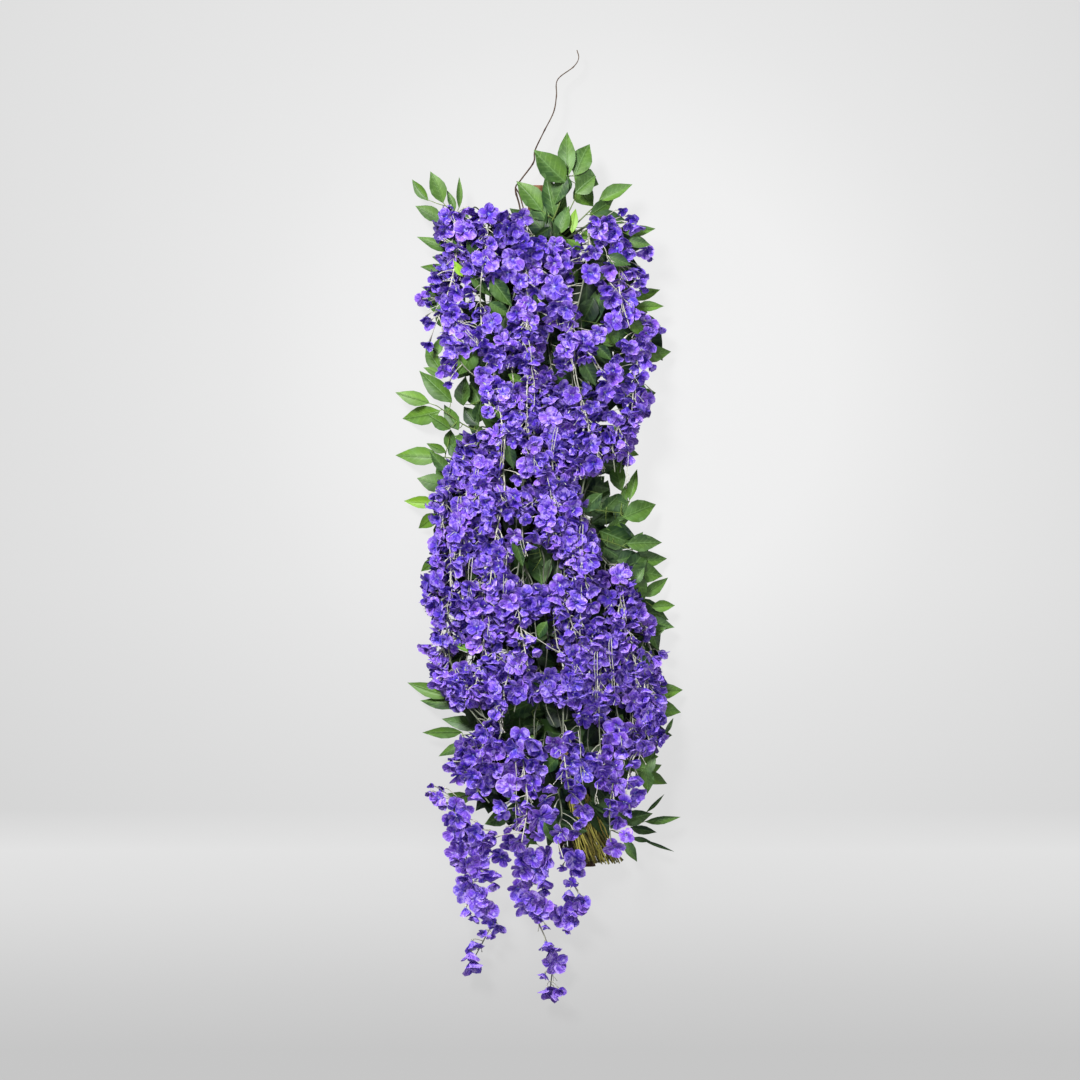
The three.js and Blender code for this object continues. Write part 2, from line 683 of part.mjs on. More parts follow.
for (const node of leafNodes) {
  const blades = node.branches.flatMap((branch, k) =>
    leafletsOf(node.name, node.number * 61 + k * 17, branch, node.stems[k].curve),
  );
  addJoined(node.name, [...node.stems.map((s) => s.made), ...blades], node.dark ? DARK_LEAF : LEAF);
}

racemeNodes.forEach(dress);
for (const reach of FILL_TURNS) racemeNodes.forEach((raceme) => fill(raceme, reach));
for (const { name, made, florets } of racemeNodes) addJoined(name, [made, ...florets], PETAL);

export default root;
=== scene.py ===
"""A long bunch of wisteria tied to a crooked pole, lying on its back, seen from straight above.

Everything is in metres in the part's own frame: +Y runs along the pole to the top of the bunch, and +Z
points up out of the surface, towards the flowers. The part's sizes are given in millimetres and scaled
by MM.
"""

import json
import math

import bpy
import numpy as np
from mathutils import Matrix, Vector, noise

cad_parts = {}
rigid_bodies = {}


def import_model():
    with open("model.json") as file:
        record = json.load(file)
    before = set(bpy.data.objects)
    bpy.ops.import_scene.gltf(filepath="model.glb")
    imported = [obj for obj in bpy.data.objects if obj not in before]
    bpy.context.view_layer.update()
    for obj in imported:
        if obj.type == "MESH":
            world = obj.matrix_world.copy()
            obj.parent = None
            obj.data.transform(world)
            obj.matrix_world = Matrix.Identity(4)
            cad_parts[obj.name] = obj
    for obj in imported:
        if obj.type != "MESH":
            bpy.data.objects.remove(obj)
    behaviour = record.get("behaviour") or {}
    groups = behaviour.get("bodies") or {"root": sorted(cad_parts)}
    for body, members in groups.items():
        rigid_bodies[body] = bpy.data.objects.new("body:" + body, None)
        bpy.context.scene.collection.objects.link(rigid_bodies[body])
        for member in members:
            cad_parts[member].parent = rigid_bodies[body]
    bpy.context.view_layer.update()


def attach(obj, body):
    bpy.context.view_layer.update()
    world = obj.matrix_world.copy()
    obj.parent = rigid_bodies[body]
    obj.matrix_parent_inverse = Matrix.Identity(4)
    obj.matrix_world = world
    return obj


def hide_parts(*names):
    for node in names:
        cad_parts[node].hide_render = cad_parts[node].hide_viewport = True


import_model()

bl_info = {
    "name": "Wisteria bunch",
    "version": (1, 0, 0),
    "blender": (4, 5, 0),
    "location": "View3D > Sidebar > Wisteria",
    "description": "Dresses the wisteria bunch part with flowers, leaves, bark and twine",
    "category": "Object",
}

MM = 0.001

# The trunk, in millimetres, as in the part
POLE_TOP = 576
POLE_FOOT = -586
POLE_RADIUS = 19
POLE_LEAN = 76
NOTCH_HEIGHT = 3.4
NOTCH_LENGTH = 50
VINE_RADIUS = 7
VINE_OFFSET = POLE_RADIUS + VINE_RADIUS + 2
BAND_PLACES = (440, 215, -215, -396)
BAND_WIDTH = 17
BAND_ROUNDNESS = 0.55
# Length of twine in which its strands go once round
PLY_LENGTH = 2.6
# How fine the bark's ridges are
BARK_GRAIN = 2.2
# Painted shade on the pole's foot: its strength, where it starts, and in what length it becomes full
FOOT_SHADE_DEPTH = 0.85
FOOT_SHADE_TOP = -420
FOOT_SHADE_FADE = 80
# Points that the tendril and its side shoot pass
TENDRIL_CLIMB = (
    (-28, 470, 22), (-34, 536, 23), (-42, 570, 25), (-33, 585, 27), (-11, 615, 31), (-9, 634, 33),
    (6, 666, 35), (23, 700, 36), (28, 728, 35), (30, 756, 33), (57, 778, 30), (66, 793, 28), (63, 807, 27),
)
TENDRIL_SHOOT = ((-41, 571, 25), (-35, 560, 31), (-31, 546, 36), (-26, 526, 38), (-23, 504, 38))

# The heap of flowers is an arch over the trunk
ARCH_HALF_WIDTH = 195
ARCH_FOOT = 22
ARCH_RISE = 78
# Lowest place of a floret's heart over the surface
FLORET_LOWEST = 14
# In metres: what reaches under the rest height is pressed together between it and the lowest place
REST_HEIGHT = 0.001
REST_LOWEST = 0.0004
REST_FADE = 0.004

# Where stems start on the trunk: between two heights along it, and this far up round its side, in radians
STRAND_ROOTS = (POLE_FOOT + 30, 468)
STRAND_LOWEST = 0.9
LEAF_ROOTS = (POLE_FOOT + 20, 470)
LEAF_LOWEST = 0.62
LEAF_STALK_RADII = (1, 0.9, 0.8, 0.7, 0.6, 0.6, 0.5)

# The strands of a raceme: how far each hangs to the side of its middle and below it
STRAND_SHIFTS = (0, 25, -27, 50, -50, 10)
STRAND_SINKS = (0, 10, 12, 22, 24, 30)
# Steps in a strand, and the fewest that it may hang
STRAND_STEPS = 70
STRAND_SHORTEST = 12
STEM_SIDES = 6
MAIN_STEM_RADIUS = 2.0
STRAND_RADIUS = 1.3
TWIG_SPACING = 40

# Kinds of floret: number of petals, how steeply they rise at the heart and at their tips, in radians, and
# how crumpled they are. The last kind is a bud.
FLORET_KINDS = (
    (5, 0.75, 0.0, 0.15), (4, 0.9, 0.2, 0.18), (5, 1.1, 0.5, 0.18), (4, 0.8, -0.3, 0.2),
    (4, 1.2, 0.7, 0.2), (5, 1.25, 0.95, 0.2), (4, 1.3, 1.15, 0.18), (5, 0.6, -0.7, 0.2),
    (4, 1.0, 0.1, 0.22), (3, 1.45, 1.5, 0.04),
)
BUD = len(FLORET_KINDS) - 1
# Kinds that face the viewer and kinds that hang, for florets set by a rule and for those that were read
OPEN_KINDS = (0, 1, 0, 2, 3)
HANGING_KINDS = (4, 5, 6, 7, 8, 3, 4)
READ_OPEN_KINDS = (0, 1, 3)
READ_HANGING_KINDS = (8, 4, 2)
# A floret opens towards the viewer where its wobble is under this
OPEN_LIMIT = -0.56
# Florets under others that were read are left out where their wobble is over this
UNDER_LIMIT = 0.45
# A read floret hangs from this share of facing down the stem
READ_HANGING = 0.6
READ_OPEN_GROWTH = 0.92
READ_HANGING_GROWTH = 1.06
# Growth of the read florets between two heights in the lower part, and of the others
LOWER_PART = (-505, 0)
LOWER_GROWTH = 1.16
OUTER_GROWTH = 0.98
# How much brighter than read the florets are above a height, and below it
UPPER_PART = 120
UPPER_BRIGHTENING = 0.02
LOWER_BRIGHTENING = 0.14
# Rows of three points on a petal: share of its length, and half width there. With its heart and two points
# on its underside a petal has 12 points.
PETAL_ROWS = ((0.32, 0.36), (0.66, 0.45), (1.0, 0.3))
PETAL_POINTS = 12
# Widening of petals by their number in a floret
PETAL_WIDENING = {3: 1.4, 4: 1.1, 5: 0.92}
PETAL_THICKNESS = 0.035

# Leaflets: length of a usual one, and its half width and thickness as a share of the length
LEAFLET_UNIT = 64
LEAFLET_HALF_WIDTH = 0.24
LEAFLET_THICKNESS = 0.009
# How far each kind of leaflet folds up along its midrib, arches down and twists
LEAFLET_KINDS = (
    (0.2, 0.16, 0.0), (0.34, 0.3, 0.25), (0.12, 0.22, -0.3), (0.42, 0.1, 0.1), (0.26, 0.38, -0.15),
)
# Rows of points on a leaflet: share of its length and of its half width
BLADE_ROWS = ((0.07, 0.26), (0.2, 0.7), (0.36, 0.98), (0.54, 0.96), (0.72, 0.66), (0.88, 0.27))
BLADE_COLUMNS = (-1, -0.5, 0, 0.5, 1)
# How far the UV map of a leaflet's underside lies above that of its upper side
UNDERSIDE_SHIFT = 2
# Number of small leaflets between the flowers, and rows and columns of dark ones under them
TIP_COUNT = 120
DEPTH_ROWS = 27
DEPTH_COLUMNS = 7
# Places where the floor shows between the racemes
CLEARINGS = ((-122, 384), (-172, 377), (-150, 318), (-118, 240), (-140, 190), (-150, 225), (-128, -224),
             (-160, -155), (128, 198), (120, 182))

# In metres: the floor's half width, the height of the flowers, and how far up the picture's middle is
FLOOR_HALF = 14
FLOWER_HEIGHT = 0.06
FRAME_MIDDLE = -0.0289

# Racemes of the heap: where each starts to hang and where it ends
RACEMES = (
    ((-138, 522), (-164, 350)), ((-80, 516), (-100, 330)), ((-17, 486), (-27, 300)),
    ((120, 520), (152, 330)), ((84, 500), (52, 305)), ((-148, 366), (-116, 222)), ((-30, 366), (-14, 120)),
    ((52, 340), (102, 92)), ((156, 362), (164, 180)), ((-86, 300), (-66, 124)), ((136, 232), (128, 86)),
    ((-110, 138), (-140, -52)), ((-56, 128), (-78, -104)), ((20, 176), (14, -40)), ((70, 96), (86, -104)),
    ((-140, -24), (-166, -196)), ((-92, -58), (-104, -284)), ((-34, -40), (-28, -240)),
    ((46, -60), (58, -284)), ((132, -84), (166, -244)), ((-150, -200), (-122, -350)),
    ((-60, -218), (-66, -342)), ((106, -196), (100, -392)), ((172, -206), (182, -362)),
    ((34, -266), (54, -452)), ((-100, -356), (-112, -474)), ((-26, -352), (-26, -540)),
    ((36, -456), (34, -566)), ((124, -376), (120, -540)), ((176, -326), (152, -456)),
)

# Leafy stems: node, height of its leaflets, its branches and its leaflets. A branch has the place along the
# trunk where it starts, a point that it passes and its end. A leaflet has the place of its base, that of
# its tip, its width and its brightness.
LEAVES = (
    ("leaves_top", 60, (
        (500, (24, 520, 60), (50, 590, 60)), (480, (34, 500, 56), (60, 552, 58)),
        (470, (52, 500, 54), (100, 546, 54)), (470, (64, 484, 50), (140, 496, 44)),
    ), (
        (47, 588, 44, 668, 31, 0.5), (58, 590, 83, 648, 38, 0.42), (44, 578, -9, 634, 46, 0.36),
        (58, 590, 99, 576, 40, 0.4), (62, 578, 90, 538, 36, 0.66), (60, 560, 96, 590, 34, 0.45),
        (4, 530, -39, 584, 38, 0.5), (10, 512, -12, 554, 32, 0.26), (26, 520, 12, 592, 32, 0.28),
        (46, 588, 20, 546, 30, 0.22), (22, 498, 44, 562, 30, 0.3), (4, 486, 3, 558, 28, 0.12),
        (30, 490, 46, 540, 28, 0.38), (46, 590, 40, 556, 22, 0.3), (54, 492, 60, 536, 17, 0.95),
        (16, 480, 36, 504, 20, 1.0), (56, 500, 47, 524, 12, 0.8), (100, 549, 157, 578, 27, 0.62),
        (84, 524, 129, 548, 28, 0.42), (90, 524, 147, 514, 28, 0.24), (144, 492, 196, 502, 18, 0.8),
        (16, 488, -24, 532, 36, 0.14), (8, 476, -14, 514, 32, 0.08), (-16, 506, -52, 536, 24, 0.14),
        (26, 476, 10, 520, 26, 0.1), (62, 476, 84, 500, 18, 0.6),
    )),
    ("leaves_top_left", 40, (
        (440, (-110, 488, 40), (-160, 540, 40)), (430, (-110, 450, 36), (-150, 458, 36)),
        (430, (-100, 420, 36), (-146, 424, 34)),
    ), (
        (-190, 549, -220, 587, 18, 0.5), (-165, 545, -186, 599, 29, 0.5), (-146, 530, -155, 567, 13, 0.4),
        (-138, 536, -137, 589, 11, 0.5), (-166, 515, -212, 541, 25, 0.42), (-150, 464, -206, 488, 20, 0.5),
        (-146, 447, -183, 452, 20, 0.45), (-148, 424, -205, 440, 18, 0.4), (-118, 496, -131, 538, 12, 0.35),
        (-131, 418, -147, 442, 14, 1.0), (-166, 386, -201, 403, 10, 0.65), (-150, 412, -130, 374, 24, 0.35),
        (-188, 372, -168, 352, 10, 0.4), (-178, 352, -156, 332, 16, 0.25), (-150, 474, -136, 452, 12, 0.7),
    )),
    ("leaves_top_right", 34, (
        (480, (90, 484, 36), (148, 480, 34)), (392, (100, 384, 32), (160, 374, 28)),
    ), (
        (157, 380, 204, 402, 20, 0.85), (163, 366, 209, 373, 19, 0.8), (168, 356, 206, 336, 15, 0.6),
        (140, 340, 172, 320, 25, 0.55), (148, 482, 188, 474, 22, 0.42), (116, 454, 152, 430, 26, 0.32),
        (120, 330, 128, 298, 20, 0.35), (122, 452, 166, 418, 30, 0.1), (96, 312, 116, 280, 24, 0.14),
        (66, 272, 96, 226, 30, 0.08), (112, 338, 134, 300, 22, 0.3),
    )),
    ("leaves_left_upper", 30, (
        (312, (-110, 300, 36), (-168, 262, 32)), (240, (-80, 220, 34), (-112, 204, 30)),
        (168, (-106, 158, 34), (-176, 200, 28)),
    ), (
        (-170, 260, -199, 302, 27, 0.55), (-176, 284, -171, 320, 18, 0.5), (-166, 250, -198, 266, 15, 0.75),
        (-128, 250, -106, 300, 34, 0.6), (-140, 246, -122, 288, 28, 0.4), (-146, 284, -112, 262, 26, 0.68),
        (-84, 286, -130, 297, 22, 0.6), (-130, 200, -134, 248, 30, 0.3), (-104, 198, -118, 240, 30, 0.5),
        (-92, 204, -98, 248, 24, 0.42), (-150, 205, -207, 254, 33, 0.5), (-188, 204, -245, 223, 25, 0.85),
        (-170, 192, -238, 175, 34, 0.78), (-152, 160, -193, 182, 26, 0.6), (-139, 158, -166, 202, 26, 0.42),
        (-104, 166, -131, 200, 28, 0.14), (-96, 262, -76, 226, 26, 0.16), (-110, 170, -96, 212, 26, 0.2),
        (-90, 150, -126, 162, 22, 0.2), (-112, 292, -90, 316, 24, 0.3),
    )),
    ("leaves_left_middle", 26, (
        (118, (-104, 108, 32), (-172, 113, 24)),
    ), (
        (-152, 160, -153, 116, 22, 0.48), (-104, 132, -145, 150, 25, 0.85), (-170, 113, -245, 120, 33, 0.8),
        (-154, 84, -187, 124, 22, 0.28), (-160, 120, -193, 135, 16, 0.62), (-160, 62, -207, 78, 32, 0.42),
        (-158, 68, -176, 102, 22, 0.5), (-140, 108, -160, 146, 24, 0.3), (-128, 84, -164, 96, 26, 0.16),
        (-120, 150, -150, 130, 22, 0.4),
    )),
    ("leaves_left_waist", 22, (
        (32, (-104, 34, 30), (-178, 30, 20)),
    ), (
        (-174, 34, -235, 39, 22, 0.95), (-174, 15, -208, -10, 24, 0.9), (-176, -60, -203, -85, 18, 0.8),
    )),
    ("leaves_right_upper", 28, (
        (300, (100, 296, 34), (170, 286, 28)), (250, (100, 236, 34), (160, 226, 28)),
    ), (
        (170, 286, 222, 290, 31, 0.55), (156, 230, 186, 220, 26, 0.6), (136, 278, 168, 266, 16, 0.4),
        (146, 123, 169, 117, 12, 0.75),
    )),
    ("leaves_right_middle", 44, (
        (40, (86, 24, 52), (146, 16, 46)),
    ), (
        (140, 10, 202, 34, 38, 0.5), (152, 38, 166, 94, 17, 0.7), (140, 54, 124, 114, 28, 0.45),
        (112, 14, 88, 52, 28, 0.4), (86, -2, 156, 40, 42, 0.12), (112, -10, 156, 6, 20, 0.5),
        (84, 106, 104, 132, 17, 0.5), (140, 34, 152, 70, 15, 0.6), (104, 20, 138, 46, 26, 0.22),
        (118, 44, 146, 30, 26, 0.3), (128, 2, 150, 40, 26, 0.2), (96, 34, 120, 74, 26, 0.16),
        (74, 50, 110, 84, 36, 0.12), (70, 16, 106, 44, 36, 0.14), (72, 84, 102, 112, 32, 0.16),
    )),
    ("leaves_right_waist", 40, (
        (-10, (92, -24, 52), (158, -46, 40)), (-40, (96, -60, 46), (156, -86, 36)),
    ), (
        (100, -14, 163, -42, 42, 0.26), (154, -42, 176, -14, 18, 0.34), (146, -34, 207, -34, 30, 0.36),
        (148, -62, 219, -60, 30, 0.42), (146, -92, 187, -42, 32, 0.16), (154, -84, 210, -87, 36, 0.45),
        (160, -90, 184, -128, 26, 0.5), (108, -40, 146, -66, 36, 0.14), (128, -20, 168, -36, 28, 0.2),
        (130, -64, 172, -52, 30, 0.18), (150, -68, 180, -100, 30, 0.16), (120, -4, 158, -22, 26, 0.16),
        (156, -104, 178, -76, 22, 0.3), (76, -18, 114, 6, 36, 0.12), (82, -54, 124, -32, 36, 0.14),
        (86, 2, 118, -34, 32, 0.1), (104, -70, 140, -84, 32, 0.12),
    )),
    ("leaves_right_lower", 24, (
        (-112, (112, -116, 32), (176, -128, 24)), (-130, (112, -150, 32), (182, -168, 22)),
    ), (
        (174, -126, 222, -98, 23, 0.55), (156, -132, 221, -166, 31, 0.26), (190, -143, 231, -141, 21, 0.7),
        (178, -166, 228, -177, 25, 0.3), (184, -168, 206, -216, 28, 0.26), (150, -116, 182, -134, 20, 0.5),
        (160, -150, 206, -158, 28, 0.2), (186, -186, 216, -178, 20, 0.3),
    )),
    ("leaves_left_lower", 26, (
        (-300, (-88, -306, 34), (-146, -308, 28)),
    ), (
        (-148, -297, -229, -272, 25, 0.85), (-140, -314, -207, -299, 22, 0.32),
        (-151, -308, -164, -262, 18, 0.32), (-94, -316, -131, -324, 27, 0.15),
    )),
    ("leaves_left_foot", 26, (
        (-372, (-70, -356, 34), (-132, -362, 26)),
    ), (
        (-94, -348, -168, -334, 26, 0.32), (-132, -357, -199, -361, 21, 0.7),
        (-126, -377, -174, -392, 20, 0.42),
    )),
    ("leaves_right_foot", 26, (
        (-276, (130, -286, 32), (188, -300, 26)), (-400, (120, -404, 32), (172, -410, 24)),
    ), (
        (188, -290, 245, -282, 27, 0.8), (184, -311, 242, -322, 31, 0.6), (110, -314, 163, -335, 31, 0.2),
        (176, -393, 204, -371, 15, 0.6), (213, -360, 228, -332, 8, 0.5), (156, -402, 199, -395, 33, 0.6),
        (178, -424, 209, -416, 18, 0.55), (174, -423, 217, -454, 25, 0.65),
        (182, -420, 184, -462, 14, 0.55), (150, -403, 177, -433, 20, 0.6),
    )),
    ("leaves_foot_dark", 26, (
        (-486, (110, -500, 34), (156, -516, 26)), (-490, (116, -520, 34), (154, -538, 22)),
    ), (
        (136, -509, 193, -496, 28, 0.2), (181, -494, 212, -463, 7, 0.2), (178, -509, 240, -504, 14, 0.3),
        (154, -519, 200, -532, 17, 0.12), (156, -537, 191, -543, 10, 0.12), (176, -541, 230, -561, 6, 0.08),
        (144, -538, 167, -578, 19, 0.3), (98, -496, 120, -538, 24, 0.15), (126, -470, 148, -506, 22, 0.2),
    )),
    ("leaves_foot_left", 34, (
        (-474, (-40, -458, 42), (-108, -466, 32)), (-500, (-20, -500, 42), (-54, -498, 32)),
    ), (
        (-116, -470, -159, -463, 23, 0.6), (-60, -436, -113, -491, 38, 0.08),
        (-50, -494, -93, -513, 27, 0.35), (-46, -472, -98, -452, 33, 0.1), (-106, -452, -66, -495, 32, 0.1),
        (-84, -446, -124, -470, 26, 0.12), (2, -518, -26, -547, 21, 0.3), (22, -518, 14, -552, 15, 0.15),
    )),
    ("leaves_inner_upper", 62, (
        (414, (-40, 410, 66), (-82, 412, 62)), (408, (50, 416, 68), (96, 410, 62)),
        (290, (60, 272, 68), (100, 262, 62)),
    ), (
        (-84, 416, -46, 336, 37, 0.22), (-121, 426, -91, 376, 19, 0.2), (84, 418, 73, 344, 42, 0.03),
        (108, 404, 90, 334, 31, 0.2), (105, 258, 58, 269, 29, 0.12), (8, 324, 42, 308, 25, 0.08),
        (24, 302, 6, 266, 21, 0.1), (-70, 264, -34, 246, 25, 0.25), (28, 252, 64, 238, 21, 0.12),
        (-58, 326, -76, 298, 21, 0.12), (-88, 374, -54, 342, 26, 0.2), (92, 384, 66, 330, 36, 0.08),
        (-14, 394, 20, 378, 23, 0.06), (-70, 452, -40, 476, 22, 0.06), (110, 446, 90, 470, 22, 0.05),
    )),
    ("leaves_inner_middle", 66, (
        (-8, (-6, -20, 72), (2, -60, 74)), (110, (-40, 112, 72), (-62, 112, 68)),
        (-120, (60, -130, 72), (90, -140, 68)),
    ), (
        (2, -106, -6, -34, 41, 0.28), (-18, -92, -47, -48, 21, 0.3), (20, -98, 37, -52, 23, 0.1),
        (-66, 118, -40, 86, 27, 0.06), (-44, 88, -30, 56, 21, 0.06), (92, 84, 69, 44, 27, 0.08),
        (-6, -202, 14, -164, 25, 0.35), (88, -142, 98, -112, 21, 0.1), (84, -146, 93, -176, 21, 0.04),
        (-22, -116, 8, -133, 19, 0.06), (-132, -78, -106, -94, 19, 0.12), (-10, -224, 32, -242, 27, 0.05),
        (-64, 4, -36, -18, 22, 0.06),
    )),
    ("leaves_inner_lower", 62, (
        (-318, (-12, -318, 72), (-10, -330, 68)), (-330, (40, -336, 72), (60, -332, 66)),
        (-430, (50, -436, 66), (88, -440, 58)),
    ), (
        (2, -300, -67, -331, 39, 0.22), (8, -342, -48, -353, 27, 0.12), (55, -328, 6, -310, 52, 0.04),
        (12, -340, 42, -368, 31, 0.07), (105, -342, 73, -380, 33, 0.02), (26, -398, 8, -428, 25, 0.08),
        (47, -434, 19, -472, 29, 0.07), (20, -476, 54, -508, 29, 0.05), (88, -432, 119, -476, 35, 0.1),
        (84, -472, 113, -522, 31, 0.12), (10, -260, -5, -298, 21, 0.2), (22, -268, 22, -302, 19, 0.12),
    )),
)

# How far the flowers reach to the left and to the right at heights along the bunch
EDGES = (
    (560, -145, 120), (530, -168, 146), (510, -172, 168), (500, -176, 174), (470, -168, 188),
    (440, -165, 182), (415, -195, 178), (380, -208, 172), (350, -198, 208), (325, -180, 214),
    (290, -168, 195), (262, -172, 180), (244, -108, 178), (222, -96, 202), (200, -106, 192),
    (170, -122, 166), (130, -136, 162), (95, -152, 172), (66, -176, 124), (40, -187, 88), (0, -187, 92),
    (-50, -187, 104), (-75, -190, 152), (-110, -198, 160), (-150, -207, 182), (-175, -172, 194),
    (-200, -206, 202), (-225, -184, 216), (-262, -188, 214), (-300, -150, 206), (-322, -128, 206),
    (-342, -98, 208), (-362, -128, 216), (-400, -154, 178), (-432, -142, 166), (-462, -118, 166),
    (-500, -80, 136), (-545, -60, 156), (-575, -60, 60),
)
# How far up the flowers reach from left to right
TOPS = (
    (-170, 527), (-150, 545), (-121, 554), (-109, 532), (-70, 537), (-12, 527), (0, 494), (12, 486),
    (60, 490), (80, 508), (119, 527), (148, 527), (168, 513), (182, 486),
)
# Gaps between the racemes that show the leaves behind: place, half width and half height
GAP_MARGIN = 10
# Dark slots are set by a rule where two crossing waves pass this
SLOT_LIMIT = 0.78
GAPS = (
    (80, -532, 30, 38), (-124, 266, 22, 20), (128, 86, 10, 24), (-4, 506, 22, 12), (50, 506, 14, 12),
    (-120, 206, 14, 14), (148, 462, 8, 8), (132, 440, 12, 8), (84, 336, 12, 10), (-74, 346, 10, 12),
    (-64, 378, 20, 34), (-100, 390, 8, 12), (86, 374, 27, 36), (80, 264, 22, 14), (28, 314, 15, 10),
    (-52, 254, 14, 10), (46, 244, 14, 8), (14, 284, 9, 14), (-2, 386, 13, 9), (-52, 102, 13, 15),
    (-36, 70, 9, 13), (80, 62, 12, 14), (-4, -68, 24, 32), (-34, -70, 12, 16), (28, -74, 10, 18),
    (4, -182, 15, 16), (92, -146, 9, 26), (10, -232, 18, 9), (-6, -332, 58, 28), (90, -362, 18, 18),
    (-112, -322, 18, 13), (136, -324, 24, 11), (18, -413, 11, 11), (34, -452, 13, 17), (38, -492, 16, 15),
    (102, -456, 18, 22), (-84, -464, 26, 26), (98, -500, 16, 16), (134, -488, 10, 8), (-118, -86, 11, 8),
    (124, 50, 26, 16), (-118, 240, 14, 12), (-108, 382, 14, 9), (126, 197, 9, 8), (118, 180, 8, 6),
    (-128, -224, 18, 10), (24, 498, 40, 20), (-50, -6, 12, 9), (16, 486, 12, 8), (96, 30, 18, 22),
    (116, -56, 12, 12),
)

